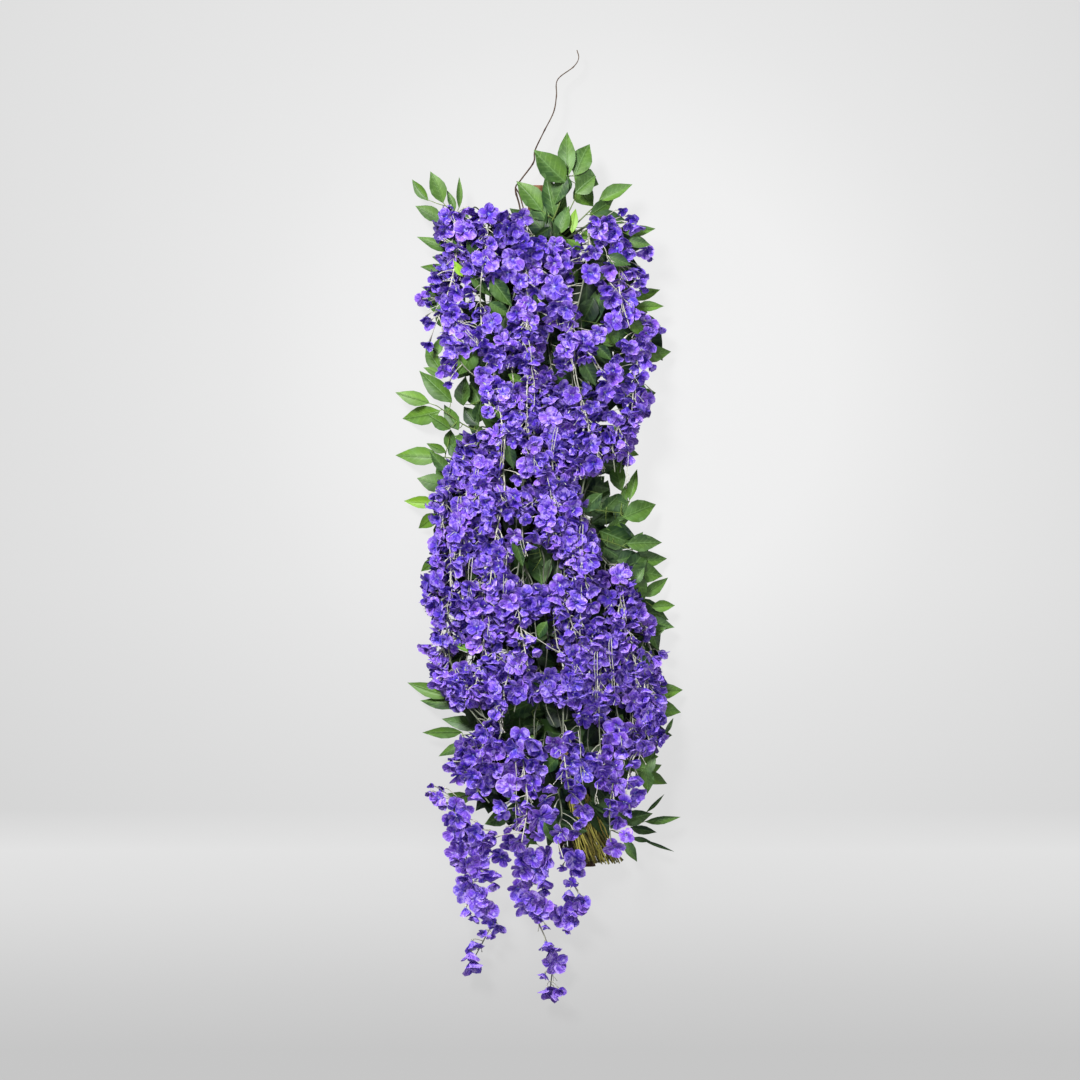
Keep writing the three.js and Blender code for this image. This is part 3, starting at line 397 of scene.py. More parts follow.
# Florets that were read one by one: place, size, how far each faces down the stem, and brightness
READ_FLORETS = (
    (-19, 52, 1, 0.2, 0.8), (8, 31, 0.9, 0.4, 0.4), (-34, 81, 0.9, 0.6, 0.3), (-8, 90, 0.9, 0.4, 0.5),
    (-43, 39, 0.9, 0.7, 0.4), (17, 64, 0.8, 0.6, 0.5), (4, 5, 0.9, 0.8, 0.4), (-26, 6, 0.9, 0.4, 0.6),
    (34, 5, 0.8, 0.7, 0.4), (-8, -16, 0.9, 0.6, 0.5), (25, -29, 0.8, 0.8, 0.4), (-43, -20, 0.8, 0.5, 0.4),
    (-14, 30, 0.8, 0.8, 0.2), (14, -8, 0.8, 0.5, 0.6), (-20, -34, 0.7, 0.9, 0.3), (46, -22, 0.8, 0.4, 0.5),
    (88, -138, 0.8, 0.6, 0.4), (98, -158, 0.8, 0.8, 0.3), (84, -176, 0.7, 0.5, 0.4),
    (116, 186, 0.8, 0.6, 0.4), (132, 174, 0.8, 0.4, 0.6), (147, 190, 0.7, 0.8, 0.4),
    (-121, 536, 0.9, 0.7, 0.8), (-159, 521, 1, 0.5, 0.6), (-140, 528, 1, 0.7, 0.4),
    (-164, 498, 1, 0.6, 0.6), (-127, 496, 1.15, 0.3, 0.7), (-115, 498, 0.7, 0.8, 0.2),
    (-87, 524, 1.1, 0.5, 0.3), (-68, 526, 1.1, 0.6, 0.5), (-98, 500, 0.8, 0.6, 0.4),
    (-32, 518, 1.1, 0.4, 0.7), (-72, 500, 1, 0.6, 0.2), (-89, 487, 0.9, 0.6, 0.4), (-55, 500, 1, 0.5, 0.2),
    (-40, 498, 0.9, 0.7, 0.3), (-104, 481, 0.8, 0.8, 0.3), (-81, 473, 1, 0.5, 0.5),
    (-68, 479, 0.9, 0.5, 0.6), (-51, 485, 0.9, 0.7, 0.2), (-26, 477, 1.2, 0.4, 0.15),
    (-4, 478, 1.1, 0.6, 0.1), (-38, 464, 1, 0.6, 0.15), (-17, 462, 1.1, 0.6, 0.1), (-2, 464, 1, 0.8, 0.05),
    (-147, 449, 0.9, 0.6, 0.7), (-110, 458, 1, 0.7, 0.4), (-89, 447, 1.3, 0.3, 0.4),
    (-72, 453, 0.8, 0.7, 0.5), (-115, 434, 1, 0.6, 0.3), (-98, 434, 0.8, 0.7, 0.2), (-79, 426, 1, 0.6, 0.2),
    (-55, 424, 1.1, 0.5, 0.4), (-47, 447, 1.2, 0.2, 0.6), (-30, 439, 1, 0.5, 0.5),
    (-11, 439, 1.1, 0.3, 0.7), (-8, 417, 1.1, 0.4, 0.6), (-34, 411, 1.1, 0.5, 0.4),
    (-6, 396, 0.9, 0.7, 0.4), (13, 468, 0.9, 0.6, 0.6), (25, 472, 0.9, 0.5, 0.6), (19, 453, 1.1, 0.5, 0.6),
    (25, 439, 1.1, 0.3, 0.6), (11, 422, 0.8, 0.7, 0.4), (23, 400, 1.3, 0.2, 0.8), (-19, 371, 1.1, 0.3, 0.6),
    (-40, 358, 1.1, 0.5, 0.4), (-13, 347, 1.2, 0.4, 0.6), (41, 462, 1, 0.5, 0.6), (49, 442, 0.9, 0.6, 0.4),
    (39, 437, 0.9, 0.7, 0.3), (46, 398, 1, 0.6, 0.5), (41, 381, 1, 0.5, 0.6), (44, 364, 1.2, 0.4, 0.7),
    (61, 360, 0.8, 0.7, 0.4), (51, 343, 0.9, 0.6, 0.5), (46, 321, 0.9, 0.6, 0.5), (20, 372, 1, 0.6, 0.4),
    (2, 374, 0.9, 0.7, 0.3), (14, 350, 1, 0.5, 0.5), (-150, 474, 0.7, 0.7, 0.4), (-132, 470, 0.7, 0.8, 0.3),
    (-148, 500, 0.9, 0.5, 0.5), (-120, 515, 0.7, 0.8, 0.3), (-104, 512, 0.7, 0.7, 0.3),
    (-152, 540, 0.5, 1, 0.3), (-175, 421, 0.9, 0.8, 0.3), (-182, 405, 0.9, 0.8, 0.4),
    (-156, 394, 1.1, 0.6, 0.6), (-122, 405, 1, 0.9, 0.5), (-201, 383, 0.9, 0.4, 0.8),
    (-186, 378, 0.6, 0.9, 0.2), (-156, 373, 1, 0.5, 0.4), (-167, 364, 0.8, 0.9, 0.1),
    (-194, 353, 0.8, 0.9, 0.7), (-188, 343, 0.8, 0.8, 0.5), (-146, 341, 1.2, 0.3, 0.6),
    (-131, 356, 0.9, 0.9, 0.4), (-109, 362, 1, 0.9, 0.1), (-82, 341, 1.15, 0.1, 0.3),
    (-122, 339, 0.8, 0.7, 0.3), (-114, 317, 1.1, 0.4, 0.6), (-165, 324, 0.8, 0.8, 0.5),
    (-154, 313, 0.9, 0.8, 0.5), (-139, 309, 0.9, 0.8, 0.5), (-188, 309, 0.8, 0.9, 0.4),
    (-98, 309, 0.9, 0.6, 0.4), (-84, 303, 0.7, 0.8, 0.5), (-143, 294, 1.1, 0.6, 0.7),
    (-126, 298, 0.9, 0.7, 0.5), (-161, 285, 0.9, 0.7, 0.5), (-156, 271, 1, 0.6, 0.4),
    (-165, 260, 0.9, 0.5, 0.6), (-150, 260, 0.7, 0.9, 0.5), (-154, 241, 0.6, 0.9, 0.3),
    (-84, 283, 0.9, 0.6, 0.3), (-92, 251, 1.2, 0.5, 0.5), (-75, 236, 1.1, 0.5, 0.5),
    (138, 532, 0.7, 1, 0.2), (155, 521, 0.8, 0.8, 0.2), (160, 508, 1, 0.9, 0.5), (114, 515, 1, 0.5, 0.7),
    (102, 498, 1.2, 0.3, 0.6), (90, 508, 0.8, 0.8, 0.4), (138, 498, 1.1, 0.7, 0.6), (124, 493, 1, 0.6, 0.4),
    (68, 488, 0.9, 0.8, 0.3), (138, 486, 0.9, 0.8, 0.5), (180, 466, 1.1, 0.7, 0.6), (131, 466, 1, 0.4, 0.3),
    (151, 459, 1, 0.6, 0.4), (148, 479, 0.7, 0.8, 0.4), (92, 462, 0.9, 0.6, 0.6), (85, 471, 0.8, 0.9, 0.2),
    (119, 430, 1, 0.6, 0.5), (87, 423, 1.2, 0.25, 0.35), (189, 455, 0.5, 1, 0.2), (153, 430, 0.9, 0.7, 0.6),
    (170, 435, 0.9, 0.8, 0.5), (141, 413, 1, 0.6, 0.7), (165, 413, 0.9, 0.7, 0.6), (114, 398, 1, 0.6, 0.5),
    (158, 396, 0.8, 0.8, 0.7), (178, 403, 0.6, 1, 0.3), (121, 386, 1, 0.6, 0.4), (134, 369, 1, 0.6, 0.5),
    (151, 381, 0.9, 0.5, 0.8), (155, 357, 1.1, 0.4, 0.6), (141, 352, 0.9, 0.7, 0.5),
    (124, 343, 1.2, 0.4, 0.3), (189, 338, 1.2, 0.5, 0.5), (204, 335, 0.8, 0.9, 0.5),
    (180, 323, 1, 0.5, 0.6), (172, 309, 1, 0.6, 0.7), (189, 309, 0.9, 0.6, 0.8), (155, 299, 1, 0.5, 0.5),
    (143, 313, 0.9, 0.9, 0.3), (73, 313, 1.2, 0.4, 0.6), (97, 321, 1.1, 0.4, 0.7), (83, 299, 1.1, 0.5, 0.6),
    (66, 279, 1, 0.6, 0.5), (87, 284, 0.7, 0.8, 0.5), (180, 280, 1, 0.7, 0.3), (126, 282, 1, 0.6, 0.6),
    (124, 260, 1.1, 0.4, 0.6), (119, 248, 1, 0.6, 0.5), (165, 268, 0.9, 0.7, 0.4),
    (153, 255, 0.9, 0.8, 0.3), (166, 248, 0.9, 0.7, 0.3), (107, 241, 0.9, 0.6, 0.5),
    (131, 238, 1, 0.7, 0.4), (109, 221, 1, 0.5, 0.5), (131, 221, 1, 0.6, 0.4), (148, 238, 0.9, 0.7, 0.4),
    (190, 226, 0.8, 1, 0.6), (176, 216, 0.9, 0.9, 0.5), (60, 470, 0.9, 0.8, 0.3), (106, 478, 0.8, 0.7, 0.3),
    (172, 292, 0.8, 0.8, 0.4), (168, 345, 0.8, 0.8, 0.4), (106, 412, 0.8, 0.8, 0.3),
    (104, 262, 0.9, 0.8, 0.3), (-110, 347, 0.8, 0.8, 0.1), (-99, 358, 0.9, 0.9, 0.1),
    (-122, 373, 0.7, 0.9, 0.2), (-92, 358, 0.7, 0.8, 0.4), (-95, 332, 0.8, 0.7, 0.3),
    (-129, 324, 0.9, 0.5, 0.6), (-107, 324, 0.8, 0.6, 0.5), (-171, 407, 0.8, 0.7, 0.4),
    (-141, 394, 0.9, 0.7, 0.5), (-163, 383, 0.9, 0.6, 0.4), (-126, 417, 0.8, 0.8, 0.5),
    (-150, 358, 0.9, 0.6, 0.5), (-148, 302, 0.9, 0.6, 0.6), (-133, 307, 0.7, 0.8, 0.4),
    (-107, 302, 0.9, 0.7, 0.4), (-92, 298, 0.9, 0.6, 0.5), (-75, 287, 1, 0.5, 0.5),
    (-84, 273, 0.9, 0.6, 0.4), (-95, 260, 1, 0.6, 0.5), (-80, 243, 1, 0.6, 0.5), (-131, 378, 0.8, 0.9, 0.1),
    (-116, 390, 0.7, 0.9, 0.2), (95, 515, 0.8, 0.7, 0.5), (119, 505, 0.9, 0.5, 0.6),
    (148, 510, 0.8, 0.8, 0.4), (107, 484, 0.8, 0.8, 0.3), (78, 457, 0.9, 0.7, 0.5),
    (114, 442, 0.8, 0.8, 0.3), (155, 469, 0.8, 0.8, 0.4), (175, 423, 0.8, 0.8, 0.6),
    (148, 423, 0.9, 0.7, 0.6), (129, 398, 0.9, 0.5, 0.5), (146, 391, 0.9, 0.6, 0.7),
    (141, 379, 0.8, 0.6, 0.5), (170, 360, 0.8, 0.8, 0.5), (114, 338, 0.9, 0.7, 0.3),
    (136, 343, 0.8, 0.8, 0.5), (180, 343, 0.9, 0.7, 0.5), (189, 328, 0.8, 0.7, 0.5),
    (170, 318, 0.9, 0.7, 0.6), (146, 301, 0.8, 0.7, 0.4), (165, 292, 0.9, 0.6, 0.5),
    (153, 287, 0.8, 0.8, 0.3), (180, 294, 0.9, 0.7, 0.6), (185, 270, 0.7, 0.8, 0.4),
    (134, 262, 0.8, 0.7, 0.5), (117, 241, 0.8, 0.7, 0.4), (141, 231, 0.9, 0.7, 0.4),
    (155, 241, 0.8, 0.8, 0.3), (168, 233, 0.8, 0.8, 0.4), (-93, -357, 0.9, 0.6, 0.6),
    (-113, -366, 0.9, 0.5, 0.4), (-89, -376, 1, 0.6, 0.7), (-130, -388, 0.9, 0.5, 0.6),
    (-113, -393, 1, 0.3, 0.4), (-96, -393, 0.8, 0.6, 0.5), (-147, -405, 0.9, 0.6, 0.7),
    (-130, -413, 1, 0.4, 0.4), (-113, -405, 0.9, 0.6, 0.3), (-96, -408, 0.9, 0.5, 0.6),
    (-113, -427, 1, 0.6, 0.7), (-86, -427, 1.1, 0.5, 0.7), (-140, -427, 0.8, 0.7, 0.5),
    (-123, -447, 0.9, 0.6, 0.5), (-106, -456, 0.9, 0.8, 0.5), (-89, -447, 0.7, 0.8, 0.2),
    (-69, -366, 0.8, 0.7, 0.4), (-79, -342, 0.8, 0.8, 0.3), (-72, -383, 0.9, 0.6, 0.4),
    (-76, -413, 0.8, 0.7, 0.4), (-33, -359, 1.1, 0.4, 0.5), (-16, -364, 1, 0.6, 0.6),
    (-47, -364, 0.9, 0.6, 0.4), (-40, -381, 1.2, 0.3, 0.8), (-55, -396, 0.8, 0.7, 0.3),
    (-1, -386, 1, 0.5, 0.3), (-16, -403, 0.9, 0.6, 0.4), (-6, -413, 0.9, 0.7, 0.3),
    (-59, -417, 1, 0.4, 0.7), (-52, -442, 1.25, 0.3, 0.7), (-13, -437, 1.2, 0.5, 0.5),
    (-30, -430, 0.8, 0.6, 0.4), (16, -442, 0.9, 0.8, 0.6), (8, -468, 0.9, 0.5, 0.6),
    (-8, -454, 0.8, 0.7, 0.4), (-57, -476, 0.9, 0.6, 0.6), (-67, -490, 0.8, 0.6, 0.5),
    (-25, -468, 0.8, 0.8, 0.4), (-30, -481, 0.8, 0.7, 0.4), (-1, -500, 1.3, 0.3, 0.6),
    (-18, -493, 0.8, 0.6, 0.5), (-40, -505, 0.9, 0.7, 0.5), (25, -481, 0.7, 0.8, 0.4),
    (35, -524, 1.1, 0.5, 0.3), (-1, -524, 0.9, 0.8, 0.5), (-38, -539, 1.1, 0.5, 0.6),
    (-76, -532, 0.7, 0.7, 0.7), (28, -374, 1.1, 0.5, 0.3), (45, -352, 1, 0.6, 0.5),
    (52, -371, 0.9, 0.7, 0.4), (72, -325, 1.1, 0.4, 0.5), (72, -374, 0.9, 0.6, 0.5),
    (55, -403, 1.1, 0.5, 0.4), (35, -413, 0.9, 0.7, 0.3), (79, -403, 1, 0.5, 0.5),
    (72, -420, 1.1, 0.4, 0.7), (52, -432, 1, 0.6, 0.4), (96, -398, 0.9, 0.7, 0.4),
    (103, -432, 0.9, 0.8, 0.4), (101, -415, 0.9, 0.7, 0.4), (59, -456, 0.9, 0.8, 0.3),
    (74, -481, 0.9, 0.7, 0.6), (62, -505, 1, 0.6, 0.4), (57, -519, 0.8, 0.8, 0.2),
    (130, -342, 1.1, 0.5, 0.5), (110, -357, 0.9, 0.7, 0.5), (140, -366, 1, 0.5, 0.5),
    (161, -381, 1.1, 0.5, 0.6), (176, -381, 1, 0.5, 0.7), (123, -413, 1.1, 0.5, 0.6),
    (118, -386, 0.8, 0.7, 0.4), (152, -403, 0.8, 0.8, 0.3), (154, -430, 1, 0.6, 0.6),
    (132, -442, 1, 0.5, 0.6), (161, -456, 1, 0.7, 0.3), (144, -473, 1.2, 0.5, 0.5),
    (125, -468, 0.9, 0.7, 0.4), (152, -485, 0.7, 0.7, 0.4), (132, -502, 0.7, 0.9, 0.4),
    (147, -529, 0.85, 0.4, 0.5), (127, -549, 1.05, 0.4, 0.8), (120, -483, 0.7, 0.9, 0.3),
    (-30, -396, 0.9, 0.6, 0.5), (66, -440, 0.9, 0.7, 0.5), (-44, -458, 0.8, 0.8, 0.4),
    (-24, -516, 0.8, 0.8, 0.4), (-58, -516, 0.8, 0.7, 0.5), (142, -385, 0.9, 0.6, 0.4),
    (110, -440, 0.7, 0.9, 0.4), (-14, -478, 0.9, 0.7, 0.5), (88, -388, 0.8, 0.8, 0.3),
    (-100, -434, 0.8, 0.7, 0.4),
)
# Where the florets that were read lie over the others, and where nothing else is seen
READ_OVER = 1
READ_ONLY = 2
# Areas of the florets that were read: left, right, bottom, top, and which of the two they are
READ_AREAS = (
    (-240, -104, 232, 410, READ_ONLY), (-240, -74, 232, 346, READ_ONLY), (106, 240, 228, 560, READ_ONLY),
    (72, 240, 318, 560, READ_ONLY), (-240, 72, 336, 600, READ_OVER), (-240, -150, -700, -345, READ_ONLY),
    (-240, 240, -700, -440, READ_ONLY), (10, 30, -440, -345, READ_ONLY), (110, 240, -440, -385, READ_ONLY),
    (-150, -66, -440, -345, READ_OVER), (-66, 10, -440, -345, READ_OVER), (30, 110, -440, -345, READ_OVER),
)
# Leaflets that lie on the flowers: place of the base, place of the tip, width and brightness
SHOWN_LEAVES = (
    (-131, 418, -147, 444, 15, 1), (-118, 426, -92, 378, 19, 0.25), (-84, 418, -52, 366, 31, 0.2),
    (-86, 374, -52, 350, 21, 0.22), (-110, 298, -138, 250, 34, 0.5), (70, 462, 46, 480, 15, 0.6),
    (114, 454, 152, 436, 24, 0.14), (148, 348, 182, 318, 25, 0.62), (116, 336, 132, 300, 23, 0.3),
    (68, 278, 96, 234, 30, 0.1), (-54, 252, -28, 236, 15, 0.7), (-160, 488, -136, 452, 15, 0.6),
    (-76, 198, -60, 174, 13, 0.6), (-44, -22, -28, -74, 23, 0.15), (12, -166, -12, -196, 21, 0.25),
    (30, -144, 54, -170, 17, 0.4), (-54, 134, -44, 92, 21, 0.12), (106, 50, 72, 16, 25, 0.2),
    (-142, -206, -112, -218, 13, 0.75), (-66, -276, -46, -292, 11, 0.8), (166, -224, 186, -242, 15, 0.4),
    (32, -396, 0, -426, 23, 0.2), (136, -396, 146, -428, 15, 0.8), (-174, 380, -158, 346, 18, 0.25),
    (-14, 392, 16, 372, 22, 0.1), (150, 480, 184, 470, 20, 0.3), (-110, 346, -96, 318, 16, 0.15),
    (196, -388, 160, -430, 32, 0.45), (178, -416, 186, -458, 25, 0.4), (6, -506, 24, -540, 17, 0.2),
    (-28, -524, -2, -550, 17, 0.25), (20, 500, -8, 478, 20, 0.12), (-124, 478, -104, 446, 18, 0.14),
    (96, 300, 120, 276, 20, 0.14),
)
# Pale stems that lie on the flowers: place of their upper and lower ends
SHOWN_STEMS = (
    (107, 469, 119, 442), (119, 406, 163, 357), (44, 314, 61, 250), (61, 250, 75, 192), (75, 192, 90, 134),
    (-19, 309, -10, 241), (-10, 241, -10, 150), (-46, 250, -46, 207), (-87, 226, -85, 190),
    (-34, 187, -61, 173), (90, 282, 102, 260), (-148, 527, -143, 503), (-129, 459, -163, 483),
    (-124, 328, -104, 306), (-107, 330, -141, 343), (-12, 141, -7, 83), (12, 78, 27, 0), (-73, 63, -58, 30),
    (-165, 29, -165, -8), (-134, 44, -134, -19), (-73, -19, -56, -53), (-56, -53, -58, -121),
    (-153, -43, -148, -131), (73, 0, 70, -100), (70, -100, 68, -199), (-29, -29, -24, -53),
    (-87, -160, -87, -194), (-24, -184, 53, -233), (121, -199, 126, -286), (160, -238, 165, -281),
    (97, -218, 97, -296), (-141, -247, -121, -281), (-58, -306, -68, -335), (-44, -218, -24, -247),
    (92, 141, 109, 88), (-73, -312, -63, -354), (65, -354, 73, -444), (134, -349, 144, -412),
    (-41, -407, -39, -513), (97, -439, 94, -476), (150, 120, 146, 60), (140, -110, 146, -168),
    (-114, -60, -120, -130), (-104, 90, -112, 30), (30, 160, 20, 112), (-58, 150, -64, 92),
)

# Racemes that trail past the foot: the points that the stem passes, and its florets, read like those above
TRAILING = (
    ((
        (-118, -462, 44), (-146, -486, 46), (-128, -560, 36), (-108, -634, 28), (-80, -672, 24),
        (-92, -704, 22), (-113, -744, 18),
    ), (
        (-187, -443, 0.35, 0.9, 0.2), (-187, -455, 0.5, 0.6, 0.8), (-166, -449, 0.42, 0.8, 0.6),
        (-172, -467, 0.65, 0.4, 0.3), (-158, -476, 0.75, 0.6, 0.4), (-142, -478, 0.8, 0.3, 0.5),
        (-128, -487, 0.75, 0.5, 0.7), (-122, -502, 0.85, 0.8, 0.2), (-107, -508, 0.6, 1, 0.1),
        (-110, -522, 0.85, 0.6, 0.5), (-97, -528, 0.8, 0.9, 0.3), (-84, -523, 0.55, 0.9, 0.5),
        (-138, -548, 0.85, 0.5, 0.5), (-96, -556, 0.85, 0.6, 0.5), (-157, -503, 0.8, 0.4, 0.6),
        (-140, -500, 0.9, 0.8, 0.3), (-146, -524, 0.9, 0.5, 0.5), (-126, -516, 0.9, 0.6, 0.3),
        (-130, -542, 1, 0.3, 0.4), (-112, -530, 0.9, 0.8, 0.6), (-110, -552, 1, 0.5, 0.3),
        (-94, -540, 0.8, 0.9, 0.6), (-140, -562, 0.9, 0.4, 0.5), (-136, -574, 0.9, 0.6, 0.6),
        (-122, -580, 0.9, 0.3, 0.3), (-108, -584, 1, 0.5, 0.6), (-97, -594, 0.9, 0.8, 0.4),
        (-128, -601, 0.9, 0.8, 0.4), (-116, -614, 0.8, 0.6, 0.3), (-130, -628, 0.9, 0.4, 0.6),
        (-108, -640, 1.05, 0.1, 0.2), (-97, -624, 0.8, 0.6, 0.4), (-79, -613, 0.75, 0.9, 0.5),
        (-91, -655, 0.9, 0.5, 0.6), (-127, -654, 0.8, 1, 0.1), (-108, -668, 0.75, 1, 0.1),
        (-88, -672, 0.7, 0.6, 0.6), (-73, -684, 0.75, 0.9, 0.4), (-84, -700, 0.5, 0.9, 0.4),
        (-99, -698, 0.5, 0.7, 0.4), (-117, -712, 0.95, 0.9, 0.5), (-118, -730, 1.05, 1, 0.7),
        (-117, -746, 1.1, 0.9, 0.8), (-80, -560, 0.8, 0.6, 0.5), (-64, -568, 0.8, 0.4, 0.3),
        (-74, -594, 0.6, 1, 0.1),
    )),
    ((
        (-14, -540, 62), (-22, -572, 52), (-20, -620, 40), (-6, -672, 30), (8, -706, 26), (21, -746, 22),
        (18, -792, 18),
    ), (
        (-30, -568, 1, 0.5, 0.2), (-12, -566, 1, 0.3, 0.1), (12, -566, 1, 0.4, 0.8),
        (-30, -584, 1, 0.7, 0.2), (-10, -588, 1.1, 0.2, 0.5), (14, -584, 1, 0.8, 0.4),
        (-22, -602, 0.9, 1, 0.1), (4, -604, 0.9, 1, 0.1), (-38, -620, 0.8, 0.4, 0.6),
        (-31, -634, 1, 0.1, 0.1), (-31, -651, 0.85, 0.4, 0.7), (-12, -638, 0.9, 0.3, 0.7),
        (-6, -650, 0.9, 0.5, 0.5), (7, -652, 0.8, 0.3, 0.5), (15, -660, 0.7, 0.5, 0.7),
        (8, -622, 0.7, 0.9, 0.4), (0, -668, 0.6, 0.8, 0.6), (10, -684, 0.45, 1, 0.1),
        (9, -712, 0.9, 0.9, 0.2), (17, -722, 0.8, 0.8, 0.3), (25, -747, 1, 0.2, 0.8),
        (8, -768, 0.7, 1, 0.3), (12, -792, 1, 1, 0.6), (32, -794, 0.85, 0.7, 0.3),
        (26, -800, 0.8, 0.9, 0.2), (-46, -540, 0.9, 0.3, 0.4), (-40, -552, 0.7, 0.8, 0.3),
    )),
    ((
        (44, -546, 44), (56, -572, 40), (54, -606, 34), (68, -642, 28), (50, -672, 24), (49, -692, 20),
    ), (
        (58, -572, 1, 0.4, 0.4), (62, -586, 0.9, 0.7, 0.4), (38, -584, 0.45, 0.8, 0.1),
        (52, -611, 0.6, 0.5, 0.2), (50, -624, 1, 1, 0.4), (66, -632, 0.9, 0.8, 0.4),
        (73, -644, 0.85, 0.6, 0.5), (64, -654, 0.9, 0.4, 0.5), (56, -664, 0.8, 0.6, 0.4),
        (40, -660, 0.7, 0.3, 0.9), (37, -672, 0.75, 0.4, 0.9), (51, -676, 0.7, 0.3, 0.8),
        (49, -692, 0.45, 1, 0.3), (40, -552, 0.7, 0.8, 0.2),
    )),
)


def mix(a, b, t):
    return a + (b - a) * t


def held(value, low, high):
    """The value, kept between low and high."""
    return max(low, min(high, value))


def wobble(seed):
    """A fixed number from -1 to 1 for each seed."""
    s = math.sin(seed * 12.9898 + 4.1414) * 43758.5453
    return 2 * (s - math.floor(s)) - 1


def unit(v):
    return v / max(np.linalg.norm(v), 1e-9)


def smooth(t):
    return t * t * (3 - 2 * t)


def pole_x(y):
    """How far the crooked pole leans to the side at a height."""
    return -2 * smooth(y / POLE_TOP) if y > 0 else POLE_LEAN * (y / POLE_FOOT) ** 1.6


def pole_underside(y):
    """Height of the pole's underside, which is cut away under the bands of twine."""
    away = min(abs(y - place) for place in BAND_PLACES)
    return NOTCH_HEIGHT * max(0, 1 - away / NOTCH_LENGTH)


def pole_middle(y):
    return np.array((pole_x(y), y, POLE_RADIUS * math.cos(math.pi / 8) + pole_underside(y)))


def arch_height(x, y):
    """Height of the heap of flowers at a place."""
    across = held((x - 0.4 * pole_x(y)) / ARCH_HALF_WIDTH, -1, 1)
    return ARCH_FOOT + ARCH_RISE * math.sqrt(1 - across * across)


def trunk_side(y, target, lowest):
    """A stem's start on the trunk, on the side of the pole that faces a target."""
    middle = pole_middle(y)
    angle = held(math.atan2(target[2] - middle[2], target[0] - middle[0]), lowest, math.pi - lowest)
    reach = POLE_RADIUS * 0.96
    return middle + reach * np.array((math.cos(angle), 0, math.sin(angle)))


# Paths


def evenly(path, steps):
    """The path as steps + 1 points at equal distances."""
    lengths = np.concatenate(([0], np.cumsum(np.linalg.norm(np.diff(path, axis=0), axis=1))))
    places = np.linspace(0, lengths[-1], steps + 1)
    return np.stack([np.interp(places, lengths, path[:, k]) for k in range(3)], axis=1)


def curve_through(knots, steps):
    """Points evenly spaced along a smooth curve through the knots."""
    knots = np.array(knots, float)
    ends = np.vstack((2 * knots[0] - knots[1], knots, 2 * knots[-1] - knots[-2]))
    fine = []
    for i in range(len(knots) - 1):
        a, b, c, d = ends[i : i + 4]
        for t in np.linspace(0, 1, 12, endpoint=False):
            slope = (c - a) * t + (2 * a - 5 * b + 4 * c - d) * t**2 + (3 * b - a - 3 * c + d) * t**3
            fine.append(0.5 * (2 * b + slope))
    fine.append(knots[-1])
    return evenly(np.array(fine), steps)


def path_length(path):
    return float(np.linalg.norm(np.diff(path, axis=0), axis=1).sum())


def at_share(path, share):
    """The point and the direction at a share of the path's length."""
    place = held(share, 0, 1) * (len(path) - 1)
    i = min(int(place), len(path) - 2)
    return mix(path[i], path[i + 1], place - i), unit(path[i + 1] - path[i])


def nearest(path, place):
    """Which of the path's points is nearest to a place, in space or, for a flat place, seen from above."""
    return int(np.argmin(np.linalg.norm(path[:, : len(place)] - np.array(place, float), axis=1)))


# Meshes


def keep_values(mesh, name, kind, values, domain="POINT"):
    """Keeps a value on every point, or every edge, of a mesh."""
    key = "vector" if kind == "FLOAT_VECTOR" else "value"
    mesh.attributes.new(name, kind, domain).data.foreach_set(key, values)


def round_off(mesh):
    mesh.polygons.foreach_set("use_smooth", [True] * len(mesh.polygons))


class Clay:
    """Gathers points and faces in millimetres, and values kept on the points, for one mesh."""

    def __init__(self):
        self.points = []
        self.faces = []
        self.values = {}
        self.count = 0

    def add(self, points, faces, **values):
        points = np.asarray(points, float)
        self.faces.extend(tuple(int(i) + self.count for i in face) for face in faces)
        for name, value in values.items():
            self.values.setdefault(name, []).append(np.broadcast_to(value, len(points)).astype(float))
        self.points.append(points)
        self.count += len(points)

    def tube(self, path, radii, sides, **values):
        """A closed rod along a path, with a radius for every ring or for every point of every ring."""
        path = np.asarray(path, float)
        radii = np.asarray(radii, float)
        if radii.ndim == 1:
            radii = radii[:, None]
        radii = np.broadcast_to(radii, (len(path), sides))
        angles = 2 * math.pi * np.arange(sides) / sides
        cosines, sines = np.cos(angles)[:, None], np.sin(angles)[:, None]
        ahead = np.gradient(path, axis=0)
        normal = unit(np.cross(ahead[0], (0.3, 0.2, 1.0)))
        rings = []
        for i, direction in enumerate(ahead):
            direction = unit(direction)
            normal = unit(normal - direction * normal.dot(direction))
            other = np.cross(direction, normal)
            rings.append(path[i] + radii[i][:, None] * (cosines * normal + sines * other))
        faces = ring_faces(len(path) - 1, sides)
        last = (len(path) - 1) * sides
        faces.append(tuple(range(sides - 1, -1, -1)))
        faces.append(tuple(range(last, last + sides)))
        self.add(np.vstack(rings), faces, **values)

    def mesh(self, name):
        made = bpy.data.meshes.new(name)
        made.from_pydata((np.vstack(self.points) * MM).tolist(), [], self.faces)
        for key, values in self.values.items():
            keep_values(made, key, "FLOAT", np.concatenate(values))
        made.update()
        return made


def ring_faces(spans, sides):
    """The faces of a tube between spans + 1 rings of points."""
    faces = []
    for i in range(spans):
        for j in range(sides):
            k = (j + 1) % sides
            faces.append((i * sides + j, i * sides + k, (i + 1) * sides + k, (i + 1) * sides + j))
    return faces


def piece(name, mesh, nodes=(), material=None):
    """Makes a finished piece of the part from a mesh."""
    thing = bpy.data.objects.new(name, mesh)
    bpy.context.scene.collection.objects.link(thing)
    if material is not None:
        mesh.materials.clear()
        mesh.materials.append(material)
    round_off(mesh)
    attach(thing, "root")
    if nodes:
        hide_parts(*nodes)


# Materials


